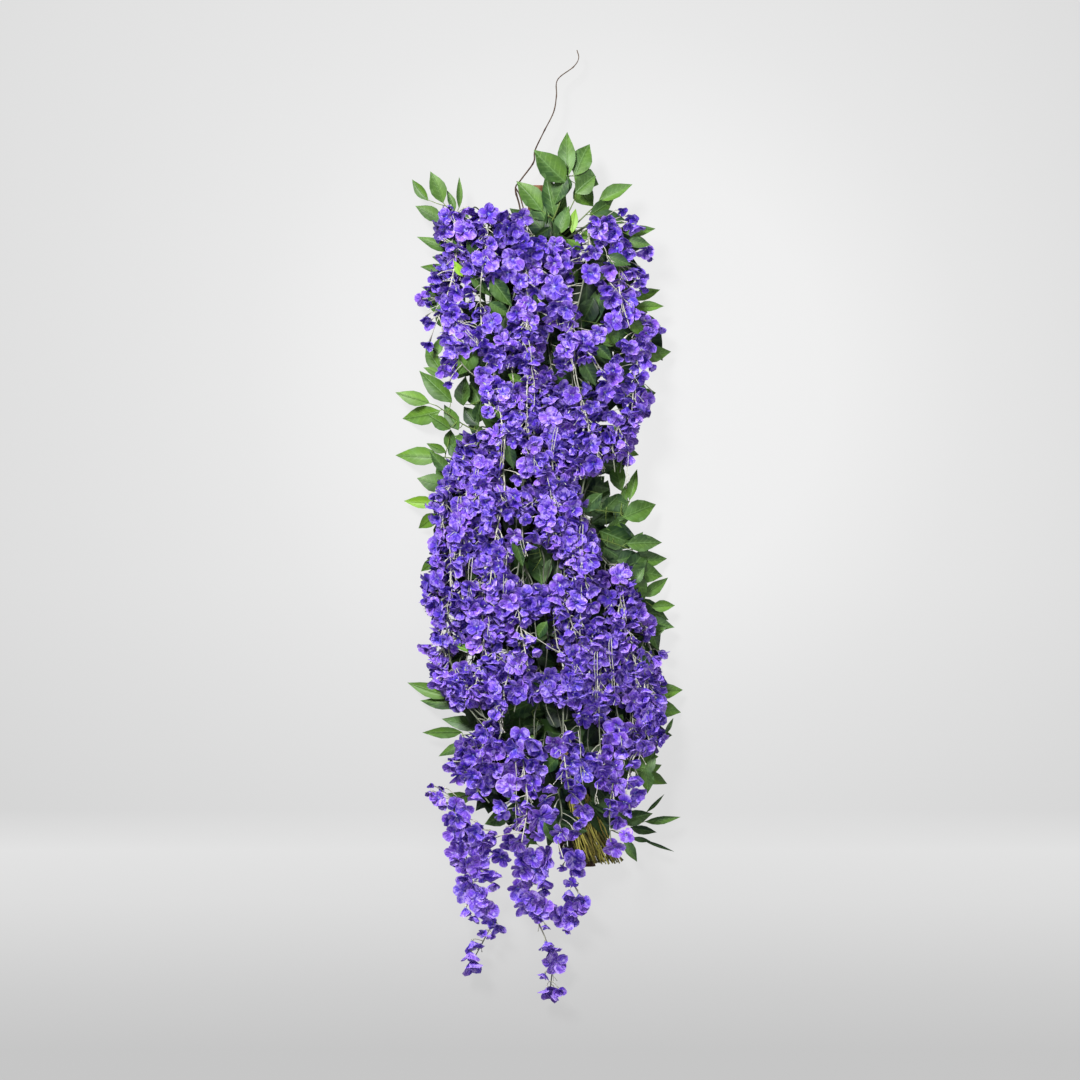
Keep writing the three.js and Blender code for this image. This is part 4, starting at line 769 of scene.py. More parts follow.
def colour(red, green, blue):
    """A colour as it shows on a screen, from 0 to 255, as the light that it stands for."""
    parts = [c / 255 for c in (red, green, blue)]
    return tuple(c / 12.92 if c <= 0.04045 else ((c + 0.055) / 1.055) ** 2.4 for c in parts) + (1.0,)


def grey(level):
    return colour(level, level, level)


def halfway(a, b):
    """The colour halfway between two."""
    return tuple(mix(p, q, 0.5) for p, q in zip(a, b))


class Value:
    """A socket that nodes send a value out of, and that can stand in sums."""

    def __init__(self, maker, socket):
        self.maker = maker
        self.socket = socket

    def __add__(self, other):
        return self.maker.sum("ADD", self, other)

    def __sub__(self, other):
        return self.maker.sum("SUBTRACT", self, other)

    def __mul__(self, other):
        return self.maker.sum("MULTIPLY", self, other)

    def __rsub__(self, other):
        return self.maker.sum("SUBTRACT", other, self)

    __radd__ = __add__
    __rmul__ = __mul__


class Maker:
    """Makes the nodes of a tree, for a material or for copies."""

    def node(self, kind, settings=None, sockets=None, out=0):
        """Makes a node from its type, its settings and the values or links of its sockets."""
        made = self.tree.nodes.new(kind)
        for key, value in (settings or {}).items():
            setattr(made, key, value)
        for key, value in (sockets or {}).items():
            if isinstance(value, Value):
                self.tree.links.new(value.socket, made.inputs[key])
            else:
                made.inputs[key].default_value = value
        return Value(self, made.outputs[out])

    def sum(self, operation, a, b):
        return self.node("ShaderNodeMath", {"operation": operation}, {0: a, 1: b})


class Finish(Maker):
    """A material and the making of its nodes."""

    def __init__(self, name, **constants):
        self.material = bpy.data.materials.new(name)
        self.material.use_nodes = True
        self.tree = self.material.node_tree
        self.shader = self.tree.nodes["Principled BSDF"]
        for key, value in constants.items():
            label = key.replace("_", " ").title().replace("Ior", "IOR")
            self.shader.inputs[label].default_value = value

    def one(self, operation, a):
        return self.node("ShaderNodeMath", {"operation": operation}, {0: a})

    def ramp(self, factor, *stops):
        """Colours at places from 0 to 1."""
        made = self.node("ShaderNodeValToRGB", None, {"Fac": factor})
        elements = made.socket.node.color_ramp.elements
        while len(elements) < len(stops):
            elements.new(1)
        for element, (place, shade) in zip(elements, stops):
            element.position = place
            element.color = shade
        return made

    def blend(self, factor, a, b, how="MIX"):
        settings = {"data_type": "RGBA", "blend_type": how, "clamp_factor": True}
        return self.node("ShaderNodeMix", settings, {0: factor, 6: a, 7: b}, 2)

    def between(self, value, low, high, out_low=0.0, out_high=1.0):
        """Takes a value from one range to another, and keeps it there."""
        return self.node("ShaderNodeMapRange", {"clamp": True}, {
            "Value": value, "From Min": low, "From Max": high, "To Min": out_low, "To Max": out_high})

    def kept(self, name):
        """A value that the mesh keeps on its points."""
        return self.node("ShaderNodeAttribute", {"attribute_name": name}, out=2)

    def parts(self, vector):
        """The parts of a vector."""
        outputs = self.node("ShaderNodeSeparateXYZ", None, {0: vector}).socket.node.outputs
        return [Value(self, output) for output in outputs]

    def uv(self, name):
        """The two parts of a UV map."""
        return self.parts(self.node("ShaderNodeUVMap", {"uv_map": name}))[:2]

    def place(self, scale=(1, 1, 1)):
        """The place on the piece, in metres times scale."""
        where = self.node("ShaderNodeTexCoord", out=3)
        return self.node("ShaderNodeMapping", None, {"Vector": where, "Scale": scale})

    def grain(self, place, scale, detail=4.0, roughness=0.55, distortion=0.0):
        sockets = {"Vector": place, "Scale": scale, "Detail": detail, "Roughness": roughness,
                   "Distortion": distortion}
        return self.node("ShaderNodeTexNoise", None, sockets)

    def set(self, socket, value):
        self.tree.links.new(value.socket, self.shader.inputs[socket])

    def bump(self, height, distance, strength):
        sockets = {"Strength": strength, "Distance": distance, "Height": height}
        self.set("Normal", self.node("ShaderNodeBump", None, sockets))


def petal_finish(deep, light):
    """Fabric petals: a pale spark at the heart in a dark blue ring, creases darkened by painted shade, and
    pale patches and rims of painted highlight. Tone makes some florets darker and others bluer, and painted
    shade darkens what lies deep in the heap."""
    f = Finish("petal_fabric", roughness=0.6, sheen_weight=0.04, sheen_roughness=0.5,
               specular_ior_level=0.16)
    across, along = f.uv("petal")
    off = f.one("ABSOLUTE", across)
    tone, shade = f.kept("tone"), f.kept("shade")
    folds = f.node("ShaderNodeCombineXYZ", None, {0: across * 1.5, 1: along * 0.6, 2: tone * 60})
    creases_and_shade = f.grain(folds, 2.2, 3, 0.6)
    highlight_patches = f.grain(f.place(), 120, 3, 0.6)
    drift = f.grain(f.place(), 9, 2)
    spot = f.grain(f.place(), 26, 2)
    body = f.ramp(f.between(along, 0, 1),
                  (0.0, colour(176, 196, 255)), (0.09, colour(120, 124, 236)), (0.2, colour(66, 44, 162)),
                  (0.5, deep), (0.8, halfway(deep, light)), (1.0, light))
    blue = f.between(tone + 0.8 * (drift - 0.5), 0.5, 0.95)
    body = f.blend(blue * 0.5, body, colour(104, 106, 236))
    pink = f.between(spot + 0.3 * (tone - 0.5), 0.46, 0.68)
    body = f.blend(pink * 0.5, body, colour(164, 102, 218))
    # Painted shade in the creases
    body = f.blend(f.between(creases_and_shade, 0.38, 0.54, 0.84, 0.0), body, colour(48, 25, 146))
    # Painted highlight in pale patches
    body = f.blend(f.between(highlight_patches, 0.5, 0.66, 0.0, 0.72), body, colour(206, 184, 255))
    # Painted highlight along the petal's rim and tip
    rim = f.sum("MAXIMUM", f.between(off, 0.7, 1.0), f.between(along, 0.86, 1.0))
    body = f.blend(rim * 0.42, body, colour(206, 172, 255))
    body = f.blend(f.between(tone, 0.0, 0.5, 0.66, 0.0), body, colour(42, 20, 150))
    # Painted shade for florets deep in the heap
    body = f.blend(shade, body, colour(18, 6, 80))
    f.set("Base Color", body)
    f.bump(creases_and_shade + 0.6 * highlight_patches, 0.0016, 0.9)
    return f.material


def leaf_finish(name, bright, dark):
    """Leaflets: a midrib between two dark lines, thin arched side veins, a dark rim and a mottled green,
    with one half of the blade lighter than the other as painted light on its fold. Tone sets how bright a
    leaflet is, and painted shade darkens those that lie under the flowers."""
    f = Finish(name, roughness=0.46, specular_ior_level=0.26)
    across, along = f.uv("blade")
    under = f.sum("GREATER_THAN", along, (1 + UNDERSIDE_SHIFT) / 2)
    run = along - UNDERSIDE_SHIFT * under
    off = f.one("ABSOLUTE", across)
    tone = f.kept("tone")
    wave = f.one("FRACT", run * 7 - off * 1.7)
    vein = f.between(f.one("ABSOLUTE", wave - 0.5), 0.0, 0.16, 1.0, 0.0)
    vein = vein * f.between(off, 0.1, 0.9, 1.0, 0.0)
    rib = f.between(off, 0.03, 0.09, 1.0, 0.0)
    beside = f.between(off, 0.08, 0.3, 1.0, 0.0)
    mottle = f.grain(f.place(), 70, 5, 0.6)
    patch = f.grain(f.place(), 24, 3)
    # Painted light: one half of the blade, across the midrib, is lighter than the other
    half = f.between(across, -0.08, 0.08)
    green = f.blend(f.between(tone + 0.55 * (mottle - 0.5) + 0.26 * (half - 0.5), 0.0, 1.0), dark, bright)
    green = f.blend(f.between(patch, 0.48, 0.7, 0.0, 0.4), green, colour(96, 134, 82))
    green = f.blend(f.between(off, 0.5, 1.0, 0.0, 0.3), green, dark)
    green = f.blend(f.between(off, 0.22, 0.1, 0.0, 0.4) * f.between(off, 0.1, 0.02, 1.0, 0.0), green, dark)
    green = f.blend(beside * 0.2, green, bright)
    green = f.blend(vein * 0.16, green, colour(150, 184, 110))
    green = f.blend(rib * 0.5, green, f.blend(tone, colour(104, 140, 86), colour(52, 78, 26)))
    green = f.blend(f.between(tone, 0.88, 1.0, 0.0, 0.55), green, colour(150, 196, 46))
    green = f.blend(under * 0.3, green, colour(106, 138, 84))
    # Painted shade for leaflets under the flowers
    green = f.blend(f.kept("shade"), green, colour(6, 17, 12))
    f.set("Base Color", green)
    f.bump(0.12 * vein + 0.8 * rib + 0.5 * mottle, 0.0007, 0.8)
    return f.material


def stem_finish(name, young, old):
    """Thin wrapped stems with short streaks, in the young colour where tone is high, or else the old."""
    f = Finish(name, roughness=0.55, specular_ior_level=0.35)
    streak = f.grain(f.place((1, 0.12, 1)), 420, 3)
    skin = f.blend(f.kept("tone") + 0.5 * (streak - 0.5), old, young)
    # Painted shade, dark where the shade value is high
    f.set("Base Color", f.blend(f.kept("shade"), skin, colour(28, 34, 22)))
    f.bump(streak, 0.0003, 0.4)
    return f.material


def bark_finish(name, ridge, furrow, scale):
    """Bark with ridges along the wood, darkened by painted shade where the shade value is high, and sawn
    wood where the sawn value is 1.
    """
    f = Finish(name, roughness=0.85, specular_ior_level=0.25)
    ridges = f.grain(f.place((1, 0.1, 1)), scale, 6, 0.62, 0.6)
    patches = f.grain(f.place((1, 0.5, 1)), scale / 9, 3)
    bark = f.ramp(f.between(ridges, 0.3, 0.7), (0.0, furrow), (0.55, halfway(furrow, ridge)), (1.0, ridge))
    bark = f.blend(f.between(patches, 0.45, 0.7, 0.0, 0.4), bark, colour(128, 116, 98))
    # Painted shade, dark where the shade value is high
    bark = f.blend(f.kept("shade"), bark, colour(26, 15, 10))
    rings = f.node("ShaderNodeTexWave", {"wave_type": "RINGS", "rings_direction": "Y"},
                   {"Vector": f.place(), "Scale": 90.0, "Distortion": 3.0, "Detail": 2.0})
    wood = f.ramp(rings, (0.0, colour(150, 102, 58)), (1.0, colour(196, 150, 98)))
    sawn = f.kept("sawn")
    f.set("Base Color", f.blend(sawn, bark, wood))
    f.bump(ridges * (1 - sawn) + 0.1 * rings * sawn, 0.0016, 0.8)
    return f.material


def twine_finish():
    """Twine of two strands, which slant round it, with loose fibre."""
    f = Finish("twine_fibre", roughness=0.9, sheen_weight=0.3, specular_ior_level=0.2)
    ply = f.one("FRACT", f.kept("ply"))
    groove = f.between(f.one("ABSOLUTE", ply - 0.5), 0.2, 0.5, 0.0, 1.0)
    fibre = f.grain(f.place(), 900, 3)
    tan = f.blend(fibre, colour(128, 98, 60), colour(196, 166, 116))
    # Painted shade in the grooves between the two strands
    f.set("Base Color", f.blend(groove * 0.6, tan, colour(84, 60, 36)))
    f.bump(fibre * 0.4 - groove, 0.0008, 0.8)
    return f.material


def floor_finish(glow):
    """Pale paper under the bunch that sends out painted light in a painted pool of light, a little greyer
    away from its top and past its foot.
    """
    f = Finish("floor_paper", roughness=0.9, specular_ior_level=0.05, emission_strength=glow)
    x, y = f.parts(f.place())[:2]
    off = f.one("SQRT", (x - 0.12) * (x - 0.12) + (y - 0.24) * (y - 0.24))
    # A painted pool of light, brightest near the upper middle of the bunch
    glow_pool = f.ramp(f.between(off, 0, 1.25),
                  (0.0, grey(247)), (0.3, grey(244)), (0.5, grey(235)), (0.64, grey(231)),
                  (0.76, grey(228)), (1.0, grey(223)))
    glow_pool = f.blend(f.between(y, -0.1, -0.47), glow_pool, f.blend(1.0, glow_pool, grey(250), "MULTIPLY"))
    # Painted light that is darker towards the bottom, past the bunch's foot
    ground = f.ramp(f.between(y, -0.9, -0.56),
                    (0.0, grey(204)), (0.3, grey(212)), (0.75, grey(227)), (1.0, grey(232)))
    paper = f.blend(f.between(y, -0.56, -0.49), ground, glow_pool)
    # The floor sends out this painted light, and its own colour is much darker, so shadows on it are faint
    f.set("Emission Color", paper)
    f.set("Base Color", f.blend(1.0, paper, grey(66), "MULTIPLY"))
    return f.material


# Repeats: copies of a few shapes that nodes set on points


class Copier(Maker):
    """A Geometry Nodes tree with named inputs."""

    def __init__(self, name, inputs):
        self.tree = bpy.data.node_groups.new(name, "GeometryNodeTree")
        sockets = self.tree.interface
        sockets.new_socket("Points", in_out="INPUT", socket_type="NodeSocketGeometry")
        self.ids = {}
        for label, kind in inputs:
            made = sockets.new_socket(label, in_out="INPUT", socket_type="NodeSocket" + kind)
            self.ids[label] = made.identifier
        sockets.new_socket("Copies", in_out="OUTPUT", socket_type="NodeSocketGeometry")
        self.start = self.tree.nodes.new("NodeGroupInput")
        self.end = self.tree.nodes.new("NodeGroupOutput")

    def given(self, label):
        return Value(self, self.start.outputs[label])

    def kept(self, name, kind="FLOAT_VECTOR"):
        """A value that the points keep."""
        return self.node("GeometryNodeInputNamedAttribute", {"data_type": kind}, {"Name": name})

    def scaled(self, vector, scale):
        return self.node("ShaderNodeVectorMath", {"operation": "SCALE"}, {0: vector, "Scale": scale})

    def chance(self, kind, low, high, out):
        """A random value between two."""
        return self.node("FunctionNodeRandomValue", {"data_type": kind},
                         {"Min": low, "Max": high, "Seed": self.given("Seed")}, out)


def copies_on_points(name):
    """Sets copies of a collection's shapes on points, turned by the facing and lengthwise values there."""
    copier = Copier(name, (
        ("Shapes", "Collection"), ("Size", "Float"), ("Size spread", "Float"), ("Tilt spread", "Float"),
        ("Seed", "Int"), ("Finish", "Material")))
    low = copier.scaled((-1, -1, -1), copier.given("Tilt spread"))
    high = copier.scaled((1, 1, 1), copier.given("Tilt spread"))
    stray = copier.chance("FLOAT_VECTOR", low, high, 0)
    facing = copier.node("ShaderNodeVectorMath", None, {0: copier.kept("facing"), 1: stray})
    turned = copier.node("FunctionNodeAxesToRotation", {"primary_axis": "Z", "secondary_axis": "Y"}, {
        "Primary Axis": facing, "Secondary Axis": copier.kept("lengthwise")})
    spread = copier.given("Size spread")
    size = copier.given("Size") * copier.chance("FLOAT", 1 - spread, 1 + spread, 1)
    scale = copier.scaled(copier.kept("growth"), size)
    shapes = copier.node("GeometryNodeCollectionInfo", {"transform_space": "ORIGINAL"}, {
        "Collection": copier.given("Shapes"), "Separate Children": True, "Reset Children": True})
    placed = copier.node("GeometryNodeInstanceOnPoints", None, {
        "Points": copier.given("Points"), "Instance": shapes, "Pick Instance": True,
        "Instance Index": copier.kept("kind", "INT"), "Rotation": turned, "Scale": scale})
    real = copier.node("GeometryNodeRealizeInstances", None, {"Geometry": placed})
    done = copier.node("GeometryNodeSetMaterial", None, {
        "Geometry": real, "Material": copier.given("Finish")})
    copier.tree.links.new(done.socket, copier.end.inputs[0])
    return copier


class Spots:
    """Points that copies are set on, in millimetres, with what turns and sizes each copy."""

    def __init__(self):
        self.rows = []

    def add(self, at, facing, lengthwise, growth, kind, tone, shade):
        self.rows.append((np.array(at, float), unit(facing), lengthwise, growth, kind, tone, shade))

    def mesh(self):
        made = bpy.data.meshes.new("spots")
        made.from_pydata([tuple(row[0] * MM) for row in self.rows], [], [])
        for column, name in enumerate(("facing", "lengthwise", "growth"), 1):
            vectors = np.array([row[column] for row in self.rows], float)
            keep_values(made, name, "FLOAT_VECTOR", vectors.ravel())
        for column, (name, kind) in enumerate((("kind", "INT"), ("tone", "FLOAT"), ("shade", "FLOAT")), 4):
            keep_values(made, name, kind, [row[column] for row in self.rows])
        return made


def copied(copier, spots, values):
    """The mesh that a copier makes on the spots."""
    holder = bpy.data.objects.new("holder", spots.mesh())
    bpy.context.scene.collection.objects.link(holder)
    modifier = holder.modifiers.new("copies", "NODES")
    modifier.node_group = copier.tree
    for label, value in values.items():
        modifier[copier.ids[label]] = value
    graph = bpy.context.evaluated_depsgraph_get()
    made = bpy.data.meshes.new_from_object(
        holder.evaluated_get(graph), preserve_all_data_layers=True, depsgraph=graph)
    bpy.data.objects.remove(holder)
    if not made.polygons:
        raise RuntimeError("no copies were made by " + copier.tree.name)
    rest_on_surface(made)
    return made


def rest_on_surface(mesh):
    """Presses flat what would reach under the surface that the bunch lies on."""
    flat = np.empty(len(mesh.vertices) * 3)
    mesh.vertices.foreach_get("co", flat)
    heights = flat[2::3]
    low = heights < REST_HEIGHT
    share = np.exp((heights[low] - REST_HEIGHT) / REST_FADE)
    heights[low] = mix(REST_LOWEST, REST_HEIGHT, share)
    mesh.vertices.foreach_set("co", flat)
    mesh.update()


def shape_collection(name, make, kinds):
    """A collection with a shape of every kind for copies, kept out of the scene."""
    shapes = bpy.data.collections.new(name)
    for i, kind in enumerate(kinds):
        shapes.objects.link(bpy.data.objects.new("%s_%02d" % (name, i), make(i, *kind)))
    return shapes


def drop_collection(shapes):
    for thing in list(shapes.objects):
        bpy.data.objects.remove(thing)
    bpy.data.collections.remove(shapes)


def thin_shape(name, points, faces, uv_name, uvs, rim, front):
    """A thin closed shape with a sharp edge along its rim. The UV map is shifted up on all faces but the
    front ones."""
    mesh = bpy.data.meshes.new(name)
    mesh.from_pydata(points, [], faces)
    layer = mesh.uv_layers.new(name=uv_name)
    for face in mesh.polygons:
        for index in face.loop_indices:
            u, v = uvs[mesh.loops[index].vertex_index]
            layer.data[index].uv = (u, v if face.index < front else v + UNDERSIDE_SHIFT)
    sharp = [edge.vertices[0] in rim and edge.vertices[1] in rim for edge in mesh.edges]
    keep_values(mesh, "sharp_edge", "BOOLEAN", sharp, "EDGE")
    round_off(mesh)
    return mesh


# Florets


def floret_mesh(number, petals, rise, tip_rise, crumple):
    """Overlapping petals, each a thin closed shape 1 unit long, facing +Z with the heart at the origin."""
    points, uvs, faces = [], [], []
    for petal in range(petals):
        seed = number * 31 + petal * 7.7
        heading = 2 * math.pi * (petal + 0.1 * wobble(seed)) / petals
        outward_way = np.array((math.cos(heading), math.sin(heading), 0))
        across_way = np.array((-math.sin(heading), math.cos(heading), 0))
        bow = 0.38 * wobble(seed + 21)
        roll = 0.5 * wobble(seed + 22) - 0.12
        reach = 1 + 0.16 * wobble(seed + 9)
        here, before = np.zeros(3), 0
        first = len(points)
        points.append(here)
        uvs.append((0, 0))
        for row, (share, half) in enumerate(PETAL_ROWS):
            slope = mix(rise, tip_rise, share) + bow * share + 1.1 * crumple * wobble(seed + row)
            ahead = outward_way * math.cos(slope) + np.array((0, 0, math.sin(slope)))
            above = np.array((0, 0, math.cos(slope))) - outward_way * math.sin(slope)
            here = here + ahead * (share - before) * reach
            before = share
            wide = half * PETAL_WIDENING[petals] * mix(0.6, 1, max(0, math.cos(slope)))
            for side in (-1, 0, 1):
                lift = 0.24 * wide * abs(side) + roll * wide * side
                lift += 0.7 * crumple * share * wobble(seed + row * 3 + side * 5)
                back = -0.14 * abs(side) if share == 1 else 0
                points.append(here + across_way * side * wide + above * lift + ahead * back)
                uvs.append((side, share))
        under = {}
        for mid in (first + 2, first + 5):
            under[mid] = len(points)
            points.append(points[mid] - np.array((0, 0, PETAL_THICKNESS)))
            uvs.append(uvs[mid])
        top = [(first, first + 1, first + 2), (first, first + 2, first + 3)]
        for row in (0, 3):
            for k in (1, 2):
                a = first + row + k
                top.append((a, a + 3, a + 4, a + 1))
        faces += top + [tuple(under.get(i, i) for i in reversed(face)) for face in top]
    # The middle points of the first two rows, above and below, are inside the rim
    rim = {i for i in range(len(points)) if i % PETAL_POINTS not in (2, 5, 10, 11)}
    return thin_shape("floret", [tuple(point) for point in points], faces, "petal", uvs, rim, len(faces))


def edges_at(y, margin):
    """How far the flowers reach to the left and to the right at a height, less a margin."""
    heights = [-row[0] for row in EDGES]
    left, right = [float(np.interp(-y, heights, [row[side] for row in EDGES])) for side in (1, 2)]
    return left + margin, right - margin


def top_edge(x):
    return float(np.interp(x, [row[0] for row in TOPS], [row[1] for row in TOPS]))


def strand_knots(number, strand):
    """The points that a stem passes: its root, a rise, and the part that hangs. The first strand is rooted
    in the trunk and the others near the place where it starts to hang."""
    start, end = (np.array(place, float) for place in RACEMES[number])
    seed = number * 11.7 + strand * 3.1
    shift = STRAND_SHIFTS[strand] * (1 if number % 2 else -1)
    stop = 1 if strand == 0 else 0.82 + 0.2 * wobble(seed)
    slide = 0 if strand == 0 else 30 * wobble(seed + 1)
    points = []
    for t in (0, 0.33, 0.66, 1):
        ground = mix(start, end, t * stop)
        y = ground[1] + slide
        x = held(ground[0] + shift * mix(0.6, 1, t) + 9 * wobble(seed + t * 7), *edges_at(y, 20))
        z = arch_height(x, y) + mix(-8, 12, t) - STRAND_SINKS[strand] + 4 * wobble(seed + t * 9)
        points.append((x, y, max(z, 16)))
    hang = np.array(points[0])
    root = trunk_side(held(hang[1] + 14, *STRAND_ROOTS), hang, STRAND_LOWEST)
    if strand:
        root = mix(root, hang, 0.6) + (0, 6, -10)
    rise = mix(root, hang, 0.55) - (0, 0, 4)
    return [root, rise, *points]


def outward(at):
    """The direction out of the bunch at a point on a stem."""
    middle = np.array((0.4 * pole_x(at[1]), at[1], min(ARCH_FOOT, at[2] - 14)))
    out = at - middle
    return unit(np.array((out[0] / ARCH_HALF_WIDTH**2, 0, out[2] / ARCH_RISE**2)))


def in_gap(x, y):
    """Whether no floret is set at a place: in the gaps that were read, and in narrow slots by a rule."""
    across = math.sin(0.125 * x + 1.6 * math.sin(0.021 * y + 1))
    along = math.sin(0.04 * y + 1.7 * math.sin(0.05 * x))
    return across * along > SLOT_LIMIT or any(
        ((x - gap_x) / (wide + GAP_MARGIN)) ** 2 + ((y - gap_y) / (high + GAP_MARGIN)) ** 2 < 1
        for gap_x, gap_y, wide, high in GAPS)


def area_at(x, y):
    """Which florets are seen at a place: READ_ONLY, READ_OVER, or 0 for those set by the rule."""
    kinds = [row[4] for row in READ_AREAS if row[0] < x < row[1] and row[2] < y < row[3]]
    return max(kinds, default=0)


def nearest_raceme(x, y):
    """The raceme of the heap that runs nearest to a place."""
    def away(number):
        (ax, ay), (bx, by) = RACEMES[number]
        t = held((ay - y) / (ay - by), 0, 1)
        return math.hypot(mix(ax, bx, t) - x, mix(ay, by, t) - y)
    return min(range(len(RACEMES)), key=away)


def depth_shade(at):
    """How much painted shade a floret or a leaf gets for lying deep in the heap, from 0 to 1."""
    return held((arch_height(at[0], at[1]) + 12 - at[2]) / 62, 0.0, 1.0)


def chosen(kinds, seed):
    """One of the kinds, the same for the same seed."""
    return kinds[int((0.5 + 0.4999 * wobble(seed)) * len(kinds))]


def set_floret(spots, stems, at, face, facing, growth, kind, tone, shade, seed):
    """One floret on its stalk."""
    facing = unit(facing)
    spin = (math.cos(seed * 5), math.sin(seed * 5), 0.3 * math.cos(seed * 3))
    spots.add(face, facing, spin, (growth, growth, growth), kind, tone, shade)
    bend = mix(at, face, 0.6) - facing * 4
    stalk = curve_through((at, bend, face + facing * 0.6), 3)
    stems.tube(stalk, (0.95, 0.7, 0.75, 2.1), 4, tone=0.75 + 0.3 * wobble(seed + 7), shade=0.8 * shade)


def read_seed(x, y):
    return x * 1.3 + y * 0.7


def set_read_floret(spots, stems, at, face, along, sway, downward, growth, tone, shade, seed):
    """One floret that was read, turned to the viewer or down along the stem."""
    facing = unit(along) * downward + np.array((sway * wobble(seed + 2), 0, 1.25 - downward * 0.8))
    kind = chosen(READ_OPEN_KINDS if downward < READ_HANGING else READ_HANGING_KINDS, seed + 5)
    set_floret(spots, stems, at, face, facing, growth, kind, tone, shade, seed)


def twig(stems, at, along, out, seed, size):
    """A short bare side shoot, forked, with small buds at its ends."""
    side = np.cross(along, out)
    turn = 1.2 * wobble(seed)
    away = out * math.cos(turn) + side * math.sin(turn)
    fork = at + (away * (5 + 2 * wobble(seed + 1)) + along * (8 + 4 * wobble(seed + 2))) * size
    look = {"tone": 0.9, "shade": 0.6 * depth_shade(fork)}
    stems.tube(curve_through((at, mix(at, fork, 0.5) + away * 1.2, fork), 2), (0.75, 0.6, 0.55), 4, **look)
    for k in (-1, 1):
        spread = side * k * (4 + 2 * wobble(seed + 5 + k))
        tip = fork + (away * (5 + 3 * wobble(seed + 3 + k)) + along * 8 + spread) * size
        stems.tube(curve_through((fork, mix(fork, tip, 0.5) + away, tip), 2), (0.55, 0.5, 0.45), 4, **look)
        ahead = unit(tip - fork)
        bud = np.array([tip + ahead * step for step in (-0.6, 0.8, 2.0, 2.8)])
        stems.tube(bud, (0.45, 0.85, 0.7, 0.3), 5, **look)


def dress_strand(path, number, strand, sizes, spots, stems):
    """Sets florets round the hanging part of a stem, each on its own stalk, and bare side shoots. Fewer
    than a quarter open towards the viewer, and the others hang from stalks that show."""
    length = path_length(path)
    count = max(6, int(length / (sizes.floret_spacing * 1000)))
    for i in range(count):
        share = mix(0.0, 0.98, i / (count - 1))
        seed = number * 71.3 + strand * 19.1 + i * 2.7
        at, along = at_share(path, share)
        out = outward(at)
        out = unit(out - along * along.dot(out))
        side = np.cross(along, out)
        turn = math.radians(mix(24 if strand else 40, 125, 0.5 + 0.5 * wobble(seed)))
        turn *= 1 if i % 2 else -1
        if strand and i % 3 == 0:
            turn *= 0.3
        reach = mix(21, 12, share) * (1 + 0.4 * wobble(seed + 1))
        ahead = along * (0.8 + 0.45 * wobble(seed + 2))
        direction = unit(out * math.cos(turn) + side * math.sin(turn) + ahead)
        face = at + direction * reach
        margin = 11 + 5 * wobble(seed + 8)
        face[0] = held(face[0], *edges_at(face[1], margin))
        face[1] = min(face[1], top_edge(face[0]) - margin)
        face[2] = max(face[2], FLORET_LOWEST)
        area = area_at(face[0], face[1])
        if area == READ_ONLY or area and wobble(seed + 13) > UNDER_LIMIT or in_gap(face[0], face[1]):
            continue
        if area:
            face[2] = held(face[2], FLORET_LOWEST, arch_height(face[0], face[1]) - 16)
        opens = wobble(seed + 11) < OPEN_LIMIT
        if opens:
            facing = out + 0.5 * direction + along * (0.1 + 0.4 * wobble(seed + 3))
            facing += side * 0.4 * wobble(seed + 9)
        else:
            facing = along * (1.0 + 0.35 * wobble(seed + 3)) + 0.45 * direction
            facing += out * (0.15 + 0.45 * wobble(seed + 9))
        kind = chosen(OPEN_KINDS if opens else HANGING_KINDS, seed + 5)
        growth = mix(1.04, 0.82, share) * (1 + 0.18 * wobble(seed + 4))
        if share > 0.9 and i % 2:
            kind = BUD
            growth *= 0.6
        tone = held(0.5 + 0.36 * wobble(seed + 6) + 0.2 * wobble(number * 3.7 + strand), 0.0, 1.0)
        shade = min(1, 1.04 * depth_shade(face) ** 1.15)
        set_floret(spots, stems, at, face, facing, growth, kind, tone, shade, seed)
    for i in range(int(length / TWIG_SPACING)):
        seed = number * 37.9 + strand * 11 + i * 5.3
        at, along = at_share(path, (i + 0.5 + 0.3 * wobble(seed)) * TWIG_SPACING / length)
        out = outward(at)
        if not in_gap(at[0], at[1] - 12) and not (strand and area_at(at[0], at[1])):
            twig(stems, at, along, unit(out - along * along.dot(out)), seed, 1.3 + 0.3 * wobble(seed + 9))


def dress_trail(path, rows, spots, stems):
    """Sets the florets that were read along a stem that trails on the surface."""
    for x, y, growth, downward, tone in rows:
        seed = read_seed(x, y)
        at = path[nearest(path, (x, y + 10))]
        face = np.array((x, y, max(FLORET_LOWEST, at[2] + 9 + 8 * wobble(seed))))
        along = np.array((0.25 * wobble(seed + 1), -1, 0))
        tone = min(1, 0.7 * tone + 0.4)
        set_read_floret(spots, stems, at, face, along, 0.4, downward, 1.24 * growth, tone, 0.1, seed)
    for i in range(4):
        at, along = at_share(path, 0.4 + 0.17 * i)
        twig(stems, at, along, np.array((0.3, 0, 1.0)), i * 7.7 + path[0][0], 0.7)


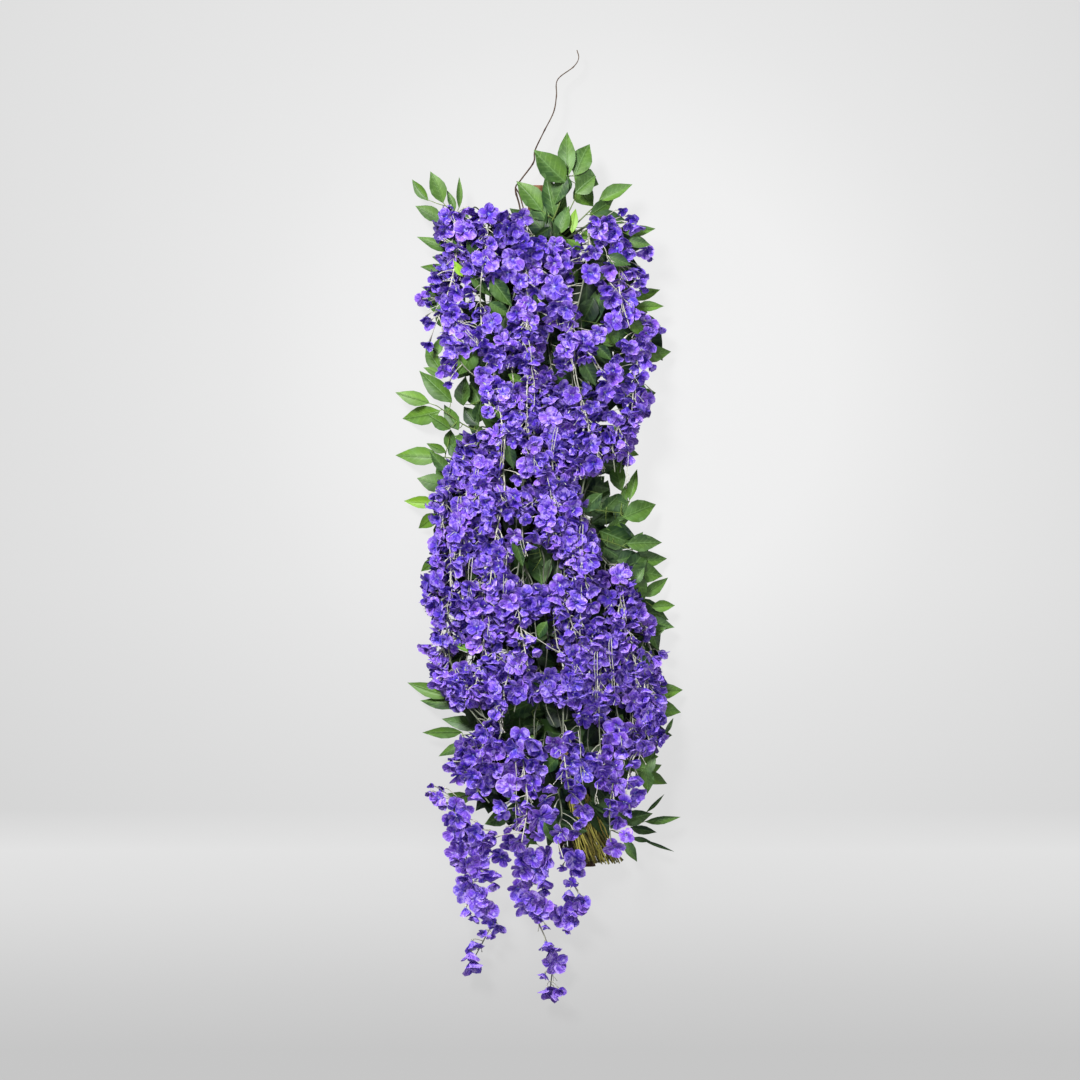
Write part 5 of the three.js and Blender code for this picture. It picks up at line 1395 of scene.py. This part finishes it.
def dress_read(strand, number, spots, stems):
    """Sets the florets and the pale stems that were read, where this raceme is the nearest."""
    for x, y, growth, downward, tone in READ_FLORETS:
        if nearest_raceme(x, y) != number:
            continue
        seed = read_seed(x, y)
        at = strand[nearest(strand, (x, y + 14))]
        face = np.array((x, y, max(16, arch_height(x, y) + 4 + 7 * wobble(seed))))
        along = np.array((0.3 * wobble(seed + 1), -1, -0.1))
        growth *= READ_OPEN_GROWTH if downward < READ_HANGING else READ_HANGING_GROWTH
        growth *= LOWER_GROWTH if LOWER_PART[0] < y < LOWER_PART[1] else OUTER_GROWTH
        tone = 0.85 * tone + (UPPER_BRIGHTENING if y > UPPER_PART else LOWER_BRIGHTENING)
        set_read_floret(spots, stems, at, face, along, 0.35, downward, growth, tone, 0.06, seed)
    for x, y, end_x, end_y in SHOWN_STEMS:
        if nearest_raceme(x, y) != number:
            continue
        seed = x * 0.7 + y * 1.1
        start = np.array((x, y, arch_height(x, y) + 12))
        end = np.array((end_x, end_y, arch_height(end_x, end_y) + 12))
        side = unit(np.cross(end - start, (0, 0, 1)))
        for k in range(1 + (wobble(seed) > -0.2)):
            shift = side * 4 * k
            bend = side * wobble(seed + k)
            path = curve_through((
                start - (0, 0, 16), start + shift + (0, 0, 2), mix(start, end, 0.35) + shift * 1.3 + bend,
                mix(start, end, 0.7) + shift * 0.6 - 2 * bend, end + shift,
                end + shift * 0.5 - (0, 0, 14)), 10)
            stems.tube(path, np.linspace(0.75, 0.55, len(path)), 5, tone=0.85 - 0.2 * k, shade=0.0)
        twig(stems, mix(start, end, 0.6), unit(end - start), np.array((0.2, 0, 0.5)), seed, 0.9)


def set_stem(path, start, thick, stems):
    """The stem of a raceme: young where it hangs, with painted shade that gives it the old colour and dims
    it in the gaps, and painted shade deep in the heap.
    """
    bare = [in_gap(at[0], at[1]) for at in path]
    # In the gaps the old colour and the dimming are painted shade
    age_and_gap_shade = [held((i - start) / 12, 0, 1) * (0.35 if bare[i] else 1) for i in range(len(path))]
    dim = [0.6 * depth_shade(at) + (0.3 if bare[i] else 0) for i, at in enumerate(path)]
    stems.tube(path, np.linspace(thick, 1.0, len(path)), STEM_SIDES,
               tone=np.repeat(age_and_gap_shade, STEM_SIDES), shade=np.repeat(dim, STEM_SIDES))


def grow_raceme(number, sizes, spots, stems):
    """A raceme of the heap: a main strand and shorter ones round it, with their florets."""
    for strand in range(len(STRAND_SHIFTS)):
        knots = strand_knots(number, strand)
        path = curve_through(knots, STRAND_STEPS)
        start = nearest(path, knots[2])
        if strand:
            stop = start
            while stop < len(path) and area_at(path[stop][0], path[stop][1]) != READ_ONLY:
                stop += 1
            if stop - start < STRAND_SHORTEST:
                continue
            path = path[:stop]
        set_stem(path, start, STRAND_RADIUS if strand else MAIN_STEM_RADIUS, stems)
        dress_strand(path[start:], number, strand, sizes, spots, stems)
        if strand == 0:
            dress_read(path[start:], number, spots, stems)


def grow_trail(knots, rows, spots, stems):
    """A raceme that trails past the foot on the surface."""
    root = trunk_side(held(knots[0][1] + 20, *STRAND_ROOTS), knots[0], STRAND_LOWEST)
    path = curve_through((root, *knots), STRAND_STEPS)
    set_stem(path, nearest(path, knots[1]), MAIN_STEM_RADIUS, stems)
    dress_trail(path[nearest(path, knots[0]) :], rows, spots, stems)


# Leaflets


def leaflet_mesh(number, fold, arch, twist):
    """A pointed leaflet as a thin closed blade, 1 unit long along +Y, half as wide and facing +Z."""
    top, uvs = [(0, 0, 0)], [(0, 0)]
    for v, wide in BLADE_ROWS:
        for u in BLADE_COLUMNS:
            x = u * wide * LEAFLET_HALF_WIDTH
            wave = 0.014 * math.sin(v * 19 + number * 2 + u * 2) * abs(u)
            z = fold * abs(x) - arch * v * v + wave + twist * x * v
            top.append((x + 0.02 * math.sin(v * 3 + number), v, z))
            uvs.append((u * wide, v))
    top.append((0.02 * math.sin(3 + number), 1, -arch))
    uvs.append((0, 1))
    tip, count = len(top) - 1, len(top)
    rows, columns = len(BLADE_ROWS), len(BLADE_COLUMNS)

    def at(row, column):
        return 1 + row * columns + column

    faces = []
    for c in range(columns - 1):
        faces.append((0, at(0, c + 1), at(0, c)))
        faces.append((at(rows - 1, c), at(rows - 1, c + 1), tip))
        for r in range(rows - 1):
            faces.append((at(r, c), at(r, c + 1), at(r + 1, c + 1), at(r + 1, c)))
    rim = {0, tip} | {at(r, c) for r in range(rows) for c in (0, columns - 1)}
    inner = [i for i in range(count) if i not in rim]
    below = {i: count + k for k, i in enumerate(inner)}
    bottom = [(top[i][0], top[i][1], top[i][2] - LEAFLET_THICKNESS) for i in inner]
    under = [tuple(below.get(i, i) for i in reversed(face)) for face in faces]
    uvs += [uvs[i] for i in inner]
    return thin_shape("leaflet", top + bottom, faces + under, "blade", uvs, rim, len(faces))


def leaf_dimness(tone, most, rate):
    """The shade of a leaflet that was read as a dark one."""
    return min(most, rate * max(0, 0.26 - tone))


def leaf_stalk(stems, root, base, share, lift, direction, tone=0.4):
    """A thin stem from the trunk to a leaflet."""
    path = curve_through((root, mix(root, base, share) + (0, 0, lift), base + direction), 6)
    stems.tube(path, LEAF_STALK_RADII, 5, tone=tone, shade=0.4)


def dress_branches(number, height, branches, leaflets, spots, stems):
    """Leafy stems out of the trunk, each leaflet on a thin stalk from the nearest of them."""
    paths = []
    for root_y, by, end in branches:
        path = curve_through((trunk_side(root_y, by, LEAF_LOWEST), by, end), 16)
        stems.tube(path, np.linspace(1.7, 0.8, len(path)), 6, tone=0.4, shade=0.2)
        paths.append(path)
    ways = np.vstack(paths)
    for i, (x, y, tip_x, tip_y, width, tone) in enumerate(leaflets):
        seed = number * 61 + i
        run = np.array((tip_x - x, tip_y - y, 0.0))
        long = np.linalg.norm(run)
        pitch = 0.22 * wobble(seed + 20)
        start = np.array((x, y, height + 7 * wobble(seed + 3)))
        start[2] = max(start[2], 8 + max(0, -math.sin(pitch)) * long)
        direction = unit(run + (0, 0, math.tan(pitch) * long))
        across = unit(np.cross(direction, (0, 0, 1)))
        normal = np.cross(across, direction)
        roll = 0.35 * wobble(seed + 35)
        normal = normal * math.cos(roll) + across * math.sin(roll)
        size = long / math.cos(pitch) / LEAFLET_UNIT
        narrow = width / (2 * LEAFLET_HALF_WIDTH * LEAFLET_UNIT)
        growth = (narrow, size, 0.5 * (size + narrow))
        shade = leaf_dimness(tone, 0.75, 3.4)
        spots.add(start, normal, direction, growth, int(2.5 + 2.49 * wobble(seed + 90)), tone, shade)
        joint = ways[nearest(ways, start)]
        stalk = curve_through((joint, mix(joint, start, 0.5) - (0, 0, 2), start + direction * 3), 4)
        stems.tube(stalk, (0.9, 0.75, 0.65, 0.6, 0.4), 5, tone=0.4 + 0.4 * tone, shade=shade)


def dress_depths(number, spots, stems):
    """Leaflets under the flowers, darkened by painted shade, in rows across the pole, a share of them for
    each leafy node.
    """
    last = DEPTH_COLUMNS - 1
    for i in range(number, DEPTH_ROWS * DEPTH_COLUMNS, len(LEAVES)):
        row, column = divmod(i, DEPTH_COLUMNS)
        y = mix(478, -500, row / (DEPTH_ROWS - 1)) + 10 * wobble(i * 3.1)
        left, right = edges_at(y, 44)
        x = left * (last - column) / last + right * column / last + 12 * wobble(i * 5.7)
        if any(abs(x - gx) < 22 and abs(y - gy) < 20 for gx, gy in CLEARINGS):
            continue
        lowest = 46 if abs(x - pole_x(y)) < 62 else 14
        middle = np.array((x, y, max(lowest, arch_height(x, y) - 46 + 8 * wobble(i * 7.3))))
        heading = -1.57 + 1.9 * wobble(i * 2.3)
        direction = unit(np.array((math.cos(heading), math.sin(heading), 0.12 * wobble(i * 9.1))))
        normal = unit(np.array((0.3 * wobble(i * 4.3), 0.3 * wobble(i * 6.1), 1)))
        base = middle - direction * 30
        # Painted shade of 0.5 on each of these leaflets
        spots.add(base, normal, direction, (1.75, 1.2, 1.3), i % 5, 0.14 + 0.12 * wobble(i * 8.9), 0.5)
        root = trunk_side(held(y + 25, LEAF_ROOTS[0], POLE_TOP), middle, LEAF_LOWEST)
        leaf_stalk(stems, root, base, 0.5, 4, direction * 3, 0.2)


def dress_tips(number, spots, stems):
    """Leaflets that were read on the flowers, and small ones that reach out between the flowers by a rule,
    a share of both for each leafy node."""
    for i in range(number, len(SHOWN_LEAVES), len(LEAVES)):
        x, y, tip_x, tip_y, width, tone = SHOWN_LEAVES[i]
        base = np.array((x, y, arch_height(x, y) + 4))
        tip = np.array((tip_x, tip_y, arch_height(tip_x, tip_y) + 12))
        direction = unit(tip - base)
        normal = unit(np.array((0.4 * wobble(i * 4.7), 0.3 * wobble(i * 6.3), 1)))
        long = np.linalg.norm(tip - base) / LEAFLET_UNIT
        wide = width / (2 * LEAFLET_HALF_WIDTH * LEAFLET_UNIT)
        spots.add(base, normal, direction, (wide, long, 0.6), i % 5, tone, leaf_dimness(tone, 0.5, 2.4))
        root = trunk_side(held(y + 20, *LEAF_ROOTS), base, STRAND_LOWEST)
        leaf_stalk(stems, root, base, 0.6, -6, direction * 2)
    for i in range(number, TIP_COUNT, len(LEAVES)):
        y = mix(470, -500, (i + 0.5) / TIP_COUNT) + 14 * wobble(i * 3.7)
        x = mix(*edges_at(y, 22), (i * 0.618) % 1)
        if in_gap(x, y):
            continue
        tip = np.array((x, y, arch_height(x, y) + mix(-20, 4, 0.5 + 0.5 * wobble(i * 1.9))))
        heading = -1.57 + 2.2 * wobble(i * 2.9)
        direction = unit(np.array((math.cos(heading), math.sin(heading), 0.5)))
        long = 34 + 10 * wobble(i * 7.1)
        base = tip - direction * long
        base[2] = max(base[2], 12)
        normal = unit(np.array((0.5 * wobble(i * 4.7), 0.5 * wobble(i * 6.3), 1)))
        growth = (0.5 + 0.14 * wobble(i * 5.1), long / LEAFLET_UNIT, 0.7)
        spots.add(base, normal, direction, growth, i % 5, 0.48 + 0.34 * wobble(i * 8.3), 0.15)
        root = trunk_side(held(base[1] + 30, *LEAF_ROOTS), base, STRAND_LOWEST)
        leaf_stalk(stems, root, base, 0.6, -6, direction * 2)


# What a user would change


class WisteriaFlowers(bpy.types.PropertyGroup):
    floret_radius: bpy.props.FloatProperty(
        name="Floret radius", description="Radius of a full-grown floret", default=0.0196, unit="LENGTH")
    floret_spacing: bpy.props.FloatProperty(
        name="Floret spacing", description="Distance between florets along a stem", default=0.0069,
        unit="LENGTH")
    floret_spread: bpy.props.FloatProperty(
        name="Size spread", description="Share by which florets differ in size", default=0.14)
    floret_tilt: bpy.props.FloatProperty(
        name="Tilt spread", description="How far florets stray from their facing", default=0.3)
    deep: bpy.props.FloatVectorProperty(
        name="Petal depth colour", description="Colour of a petal near its heart", size=4, subtype="COLOR",
        default=colour(112, 67, 228))
    light: bpy.props.FloatVectorProperty(
        name="Petal edge colour", description="Colour of a petal at its edge", size=4, subtype="COLOR",
        default=colour(168, 136, 244))


class WisteriaLeaves(bpy.types.PropertyGroup):
    leaflet_size: bpy.props.FloatProperty(
        name="Leaflet size", description="Size of the leaflets as a share of the usual", default=1.0)
    bright: bpy.props.FloatVectorProperty(
        name="Bright green", description="Colour of the brightest leaflets", size=4, subtype="COLOR",
        default=colour(97, 137, 44))
    dark: bpy.props.FloatVectorProperty(
        name="Dark green", description="Colour of the darkest leaflets", size=4, subtype="COLOR",
        default=colour(20, 47, 30))


class WisteriaTrunk(bpy.types.PropertyGroup):
    bark_relief: bpy.props.FloatProperty(
        name="Bark relief", description="Height of the ridges in the bark", default=0.0012, unit="LENGTH")
    twine_diameter: bpy.props.FloatProperty(
        name="Twine diameter", description="Thickness of the twine", default=0.0024, unit="LENGTH")
    cut_stems: bpy.props.IntProperty(
        name="Cut stems", description="Number of cut stems at the foot", default=96)


class WisteriaStage(bpy.types.PropertyGroup):
    key_power: bpy.props.FloatProperty(
        name="Main light", description="Power of the main light", default=330.0, subtype="POWER")
    fill_power: bpy.props.FloatProperty(
        name="Fill light", description="Power of the fill light", default=50.0, subtype="POWER")
    world_strength: bpy.props.FloatProperty(
        name="Surrounding light", description="Strength of the light from all around", default=0.22)
    floor_glow: bpy.props.FloatProperty(
        name="Floor glow", description="Strength of the light that the floor sends out", default=0.86)
    camera_distance: bpy.props.FloatProperty(
        name="Camera distance", description="Height of the camera over the flowers", default=9.0,
        unit="LENGTH")
    frame_width: bpy.props.FloatProperty(
        name="Frame width", description="Width of the picture at the flowers", default=1.836, unit="LENGTH")


# Operators


class WISTERIA_OT_pole(bpy.types.Operator):
    """Make the crooked wooden pole with its bark and sawn ends"""

    bl_idname = "wisteria.pole"
    bl_label = "Pole"

    def execute(self, context):
        relief_height = context.scene.wisteria_trunk.bark_relief * 1000
        rings, sides = 220, 44
        points, faces = [], []
        for i in range(rings + 1):
            y = mix(POLE_FOOT, POLE_TOP, i / rings)
            middle = pole_middle(y)
            for j in range(sides):
                angle = 2 * math.pi * j / sides
                c, s = math.cos(angle), math.sin(angle)
                ridges = Vector((c * BARK_GRAIN, y / 120, s * BARK_GRAIN)) * BARK_GRAIN
                relief = noise.fractal(ridges, 0.6, 2.1, 4) * relief_height
                swell = 0.7 * noise.noise(Vector((c, y / 90, s)))
                radius = POLE_RADIUS - 0.2 + swell + relief
                points.append((middle[0] + radius * c, y, max(middle[2] + radius * s, pole_underside(y))))
                if i < rings:
                    k = (j + 1) % sides
                    faces.append((i * sides + j, (i + 1) * sides + j, (i + 1) * sides + k, i * sides + k))
        sawn = [0] * len(points)
        for end, y in ((0, POLE_FOOT), (rings, POLE_TOP)):
            first = end * sides
            inner, centre = len(points), pole_middle(y)
            points += [tuple(mix(centre, np.array(points[first + j]), 0.9)) for j in range(sides)]
            points.append(tuple(centre))
            sawn += [1] * (sides + 1)
            for j in range(sides):
                k = (j + 1) % sides
                a, b = (j, k) if end == 0 else (k, j)
                faces.append((first + a, first + b, inner + b, inner + a))
                faces.append((inner + a, inner + b, inner + sides))
        # Painted shade that darkens the pole towards its foot
        foot_shade = [FOOT_SHADE_DEPTH * smooth(held((FOOT_SHADE_TOP - point[1]) / FOOT_SHADE_FADE, 0, 1)) for point in points]
        clay = Clay()
        clay.add(points, faces, sawn=sawn, shade=foot_shade)
        finish = bark_finish("pole_bark", colour(150, 104, 70), colour(58, 38, 26), 130)
        piece("pole_bark", clay.mesh("pole_bark"), ["pole"], finish)
        return {"FINISHED"}


class WISTERIA_OT_vines(bpy.types.Operator):
    """Make the two brown vines that run along the pole"""

    bl_idname = "wisteria.vines"
    bl_label = "Vines"

    def execute(self, context):
        finish = bark_finish("vine_bark", colour(92, 62, 42), colour(30, 18, 12), 260)
        steps, sides = 150, 14
        for name, side, foot, top in (("vine_left", -1, -560, 330), ("vine_right", 1, -540, 470)):
            knots = []
            for i in range(10):
                y = mix(foot, top, i / 9)
                out = VINE_OFFSET + 1.6 * (1 + wobble(i + 7 * side))
                knots.append((pole_x(y) + side * out, y, 14 + 3.5 * wobble(i + 31 * side)))
            radii = np.empty((steps + 1, sides))
            for i in range(steps + 1):
                usual = VINE_RADIUS * mix(1, 0.7, i / steps) - 0.3
                for j in range(sides):
                    angle = 2 * math.pi * j / sides
                    bump = noise.noise(Vector((math.cos(angle), i / 7, math.sin(angle))))
                    radii[i][j] = usual + 0.5 * bump + 0.4 * math.cos(2 * angle - i / 9)
            clay = Clay()
            clay.tube(curve_through(knots, steps), radii, sides, sawn=0)
            piece(name + "_bark", clay.mesh(name + "_bark"), [name], finish)
        return {"FINISHED"}


class WISTERIA_OT_twine(bpy.types.Operator):
    """Wind the bands of twine round the pole and the vines"""

    bl_idname = "wisteria.twine"
    bl_label = "Twine"

    def execute(self, context):
        diameter = context.scene.wisteria_trunk.twine_diameter * 1000
        turns = int(BAND_WIDTH / diameter) - 1
        steps, sides = 64 * turns, 8
        wide, high = VINE_OFFSET + VINE_RADIUS + 6.6, POLE_RADIUS + 4.6
        finish = twine_finish()
        for number, place in enumerate(BAND_PLACES):
            middle = pole_middle(place)
            path = []
            for i in range(steps + 1):
                angle = 2 * math.pi * (i / 64 + 0.31)
                c, s = math.cos(angle), math.sin(angle)
                x = wide * math.copysign(abs(c) ** BAND_ROUNDNESS, c)
                z = high * math.copysign(abs(s) ** BAND_ROUNDNESS, s) + middle[2]
                y = place + mix(-0.5, 0.5, i / steps) * (BAND_WIDTH - diameter)
                path.append((middle[0] + x, y, max(z, diameter / 2 + 0.1)))
            path = np.array(path)
            slant = np.repeat(np.linspace(0, path_length(path) / PLY_LENGTH, steps + 1), sides)
            around = np.tile(np.arange(sides) / sides * 2, steps + 1)
            clay = Clay()
            clay.tube(evenly(path, steps), [diameter / 2] * (steps + 1), sides, ply=slant + around)
            node = "twine_band_%d" % (number + 1)
            piece(node + "_turns", clay.mesh(node), [node], finish)
        return {"FINISHED"}


class WISTERIA_OT_tendril(bpy.types.Operator):
    """Make the thin tendril that climbs out of the top, with its side shoot"""

    bl_idname = "wisteria.tendril"
    bl_label = "Tendril"

    def execute(self, context):
        steps = 90
        clay = Clay()
        for knots, thick, thin in ((TENDRIL_CLIMB, 1.7, 0.8), (TENDRIL_SHOOT, 1.3, 1.0)):
            radii = []
            for i in range(steps + 1):
                knob = 0.35 * (i % 15 == 7)
                radii.append(mix(thick, thin, i / steps) * (1 + 0.12 * wobble(i * 3.7) + knob))
            clay.tube(curve_through(knots, steps), radii, 8, sawn=0)
        finish = bark_finish("tendril_bark", colour(88, 64, 48), colour(32, 21, 16), 420)
        piece("tendril_twig", clay.mesh("tendril_twig"), ["tendril"], finish)
        return {"FINISHED"}


class WISTERIA_OT_cut_stems(bpy.types.Operator):
    """Make the sheaf of cut stems on the pole's foot"""

    bl_idname = "wisteria.cut_stems"
    bl_label = "Cut stems"

    def execute(self, context):
        clay = Clay()
        count = context.scene.wisteria_trunk.cut_stems
        for i in range(count):
            spread = i / (count - 1)
            layer = (i * 7) % 5
            start, bend, end = np.array((
                (mix(48, 76, spread) + 7 * wobble(i * 4), -462 + 12 * wobble(i + 5), 42 + 2.6 * layer),
                (mix(54, 104, spread) + 9 * wobble(i * 6), -524, 41 + 3.6 * layer - 3 * spread),
                (mix(64, 136, spread) + 9 * wobble(i * 8), -577 + 5 * wobble(i),
                 38 + 3.2 * layer - 14 * spread),
            ))
            path = curve_through((start, mix(start, bend, 0.5), bend, end), 10)
            for k in range(9):
                path[k + 1] += (1.3 * wobble(i * 9 + k), 0, 0.8 * wobble(i * 5 + k))
            radius = 1.15 + 0.4 * wobble(i + 3)
            # Painted shade darkens every third stem and the lower layers of the sheaf
            dark = min(0.7 * (i % 3 == 0) + 0.16 * (4 - layer), 0.9)
            clay.tube(path, [radius] * 11, 7, tone=0.5 + 0.4 * wobble(i + 20), shade=dark)
        finish = stem_finish("cut_stem_skin", colour(186, 180, 84), colour(98, 82, 34))
        piece("cut_stem_sheaf", clay.mesh("cut_stem_sheaf"), ["cut_stems"], finish)
        return {"FINISHED"}


class WISTERIA_OT_leaves(bpy.types.Operator):
    """Make the leafy stems"""

    bl_idname = "wisteria.leaves"
    bl_label = "Leaves"

    def execute(self, context):
        sizes = context.scene.wisteria_leaves
        finish = leaf_finish("leaflet_cloth", tuple(sizes.bright), tuple(sizes.dark))
        stem = stem_finish("leaf_stem_skin", colour(128, 150, 66), colour(62, 84, 36))
        copier = copies_on_points("Leaflets on stems")
        shapes = shape_collection("leaflet", leaflet_mesh, LEAFLET_KINDS)
        for number, (node, height, branches, leaflets) in enumerate(LEAVES):
            spots, stems = Spots(), Clay()
            dress_branches(number, height, branches, leaflets, spots, stems)
            dress_depths(number, spots, stems)
            dress_tips(number, spots, stems)
            made = copied(copier, spots, {
                "Shapes": shapes, "Size": sizes.leaflet_size * LEAFLET_UNIT * MM, "Size spread": 0.02,
                "Tilt spread": 0.1, "Seed": 10 + number, "Finish": finish})
            piece(node + "_blades", made, [node])
            piece(node + "_stems", stems.mesh(node + "_stems"), material=stem)
        drop_collection(shapes)
        return {"FINISHED"}


class WISTERIA_OT_flowers(bpy.types.Operator):
    """Make the racemes of flowers"""

    bl_idname = "wisteria.flowers"
    bl_label = "Flowers"

    def execute(self, context):
        sizes = context.scene.wisteria_flowers
        finish = petal_finish(tuple(sizes.deep), tuple(sizes.light))
        stem = stem_finish("raceme_stem_skin", colour(196, 194, 180), colour(70, 88, 46))
        copier = copies_on_points("Florets on stems")
        shapes = shape_collection("floret", floret_mesh, FLORET_KINDS)
        for number in range(len(RACEMES) + len(TRAILING)):
            spots, stems = Spots(), Clay()
            if number < len(RACEMES):
                grow_raceme(number, sizes, spots, stems)
            else:
                grow_trail(*TRAILING[number - len(RACEMES)], spots, stems)
            made = copied(copier, spots, {
                "Shapes": shapes, "Size": sizes.floret_radius, "Size spread": sizes.floret_spread,
                "Tilt spread": sizes.floret_tilt, "Seed": 100 + number, "Finish": finish})
            node = "raceme_%02d" % (number + 1)
            piece(node + "_florets", made, [node])
            piece(node + "_stems", stems.mesh(node + "_stems"), material=stem)
        drop_collection(shapes)
        return {"FINISHED"}


class WISTERIA_OT_stage(bpy.types.Operator):
    """Set the pale floor, the soft lights and the camera that looks straight down"""

    bl_idname = "wisteria.stage"
    bl_label = "Stage"

    def execute(self, context):
        settings = context.scene.wisteria_stage
        scene = context.scene
        mesh = bpy.data.meshes.new("floor")
        corners = [(FLOOR_HALF * x, FLOOR_HALF * y, 0) for x, y in ((-1, -1), (1, -1), (1, 1), (-1, 1))]
        mesh.from_pydata(corners, [], [(0, 1, 2, 3)])
        floor = bpy.data.objects.new("floor", mesh)
        scene.collection.objects.link(floor)
        mesh.materials.append(floor_finish(settings.floor_glow))
        for name, power, size, at in (
            ("main_light", settings.key_power, 1.1, (-1.6, 2.4, 3.2)),
            ("fill_light", settings.fill_power, 2.6, (1.8, -0.6, 3.2)),
        ):
            light = bpy.data.lights.new(name, "AREA")
            light.energy = power
            light.size = size
            lamp = bpy.data.objects.new(name, light)
            lamp.location = at
            lamp.rotation_euler = (Vector((0, 0, 0)) - Vector(at)).to_track_quat("-Z", "Y").to_euler()
            scene.collection.objects.link(lamp)
        world = bpy.data.worlds.new("studio")
        world.use_nodes = True
        around = world.node_tree.nodes["Background"].inputs
        around[0].default_value = colour(226, 227, 230)
        around[1].default_value = settings.world_strength
        scene.world = world
        scene.view_settings.view_transform = "Standard"
        camera = bpy.data.cameras.new("camera")
        camera.sensor_width = 36
        camera.lens = 36 * settings.camera_distance / settings.frame_width
        camera.clip_end = 100
        eye = bpy.data.objects.new("camera", camera)
        eye.location = (0, FRAME_MIDDLE, settings.camera_distance + FLOWER_HEIGHT)
        scene.collection.objects.link(eye)
        scene.camera = eye
        return {"FINISHED"}


class WISTERIA_PT_panel(bpy.types.Panel):
    bl_label = "Wisteria bunch"
    bl_space_type = "VIEW_3D"
    bl_region_type = "UI"
    bl_category = "Wisteria"

    def draw(self, context):
        for name in SETTINGS:
            group = getattr(context.scene, name)
            for key in group.__annotations__:
                self.layout.prop(group, key)
        for operator in OPERATORS:
            self.layout.operator(operator.bl_idname)


OPERATORS = (
    WISTERIA_OT_pole, WISTERIA_OT_vines, WISTERIA_OT_twine, WISTERIA_OT_tendril, WISTERIA_OT_cut_stems,
    WISTERIA_OT_leaves, WISTERIA_OT_flowers, WISTERIA_OT_stage,
)
SETTINGS = {
    "wisteria_trunk": WisteriaTrunk,
    "wisteria_leaves": WisteriaLeaves,
    "wisteria_flowers": WisteriaFlowers,
    "wisteria_stage": WisteriaStage,
}
CLASSES = (*SETTINGS.values(), *OPERATORS, WISTERIA_PT_panel)


def register():
    for kind in CLASSES:
        bpy.utils.register_class(kind)
    for name, group in SETTINGS.items():
        setattr(bpy.types.Scene, name, bpy.props.PointerProperty(type=group))


def unregister():
    for name in SETTINGS:
        delattr(bpy.types.Scene, name)
    for kind in reversed(CLASSES):
        bpy.utils.unregister_class(kind)


def main():
    register()
    bpy.ops.wisteria.pole()
    bpy.ops.wisteria.vines()
    bpy.ops.wisteria.twine()
    bpy.ops.wisteria.tendril()
    bpy.ops.wisteria.cut_stems()
    bpy.ops.wisteria.leaves()
    bpy.ops.wisteria.flowers()
    bpy.ops.wisteria.stage()


if __name__ == "__main__":
    main()
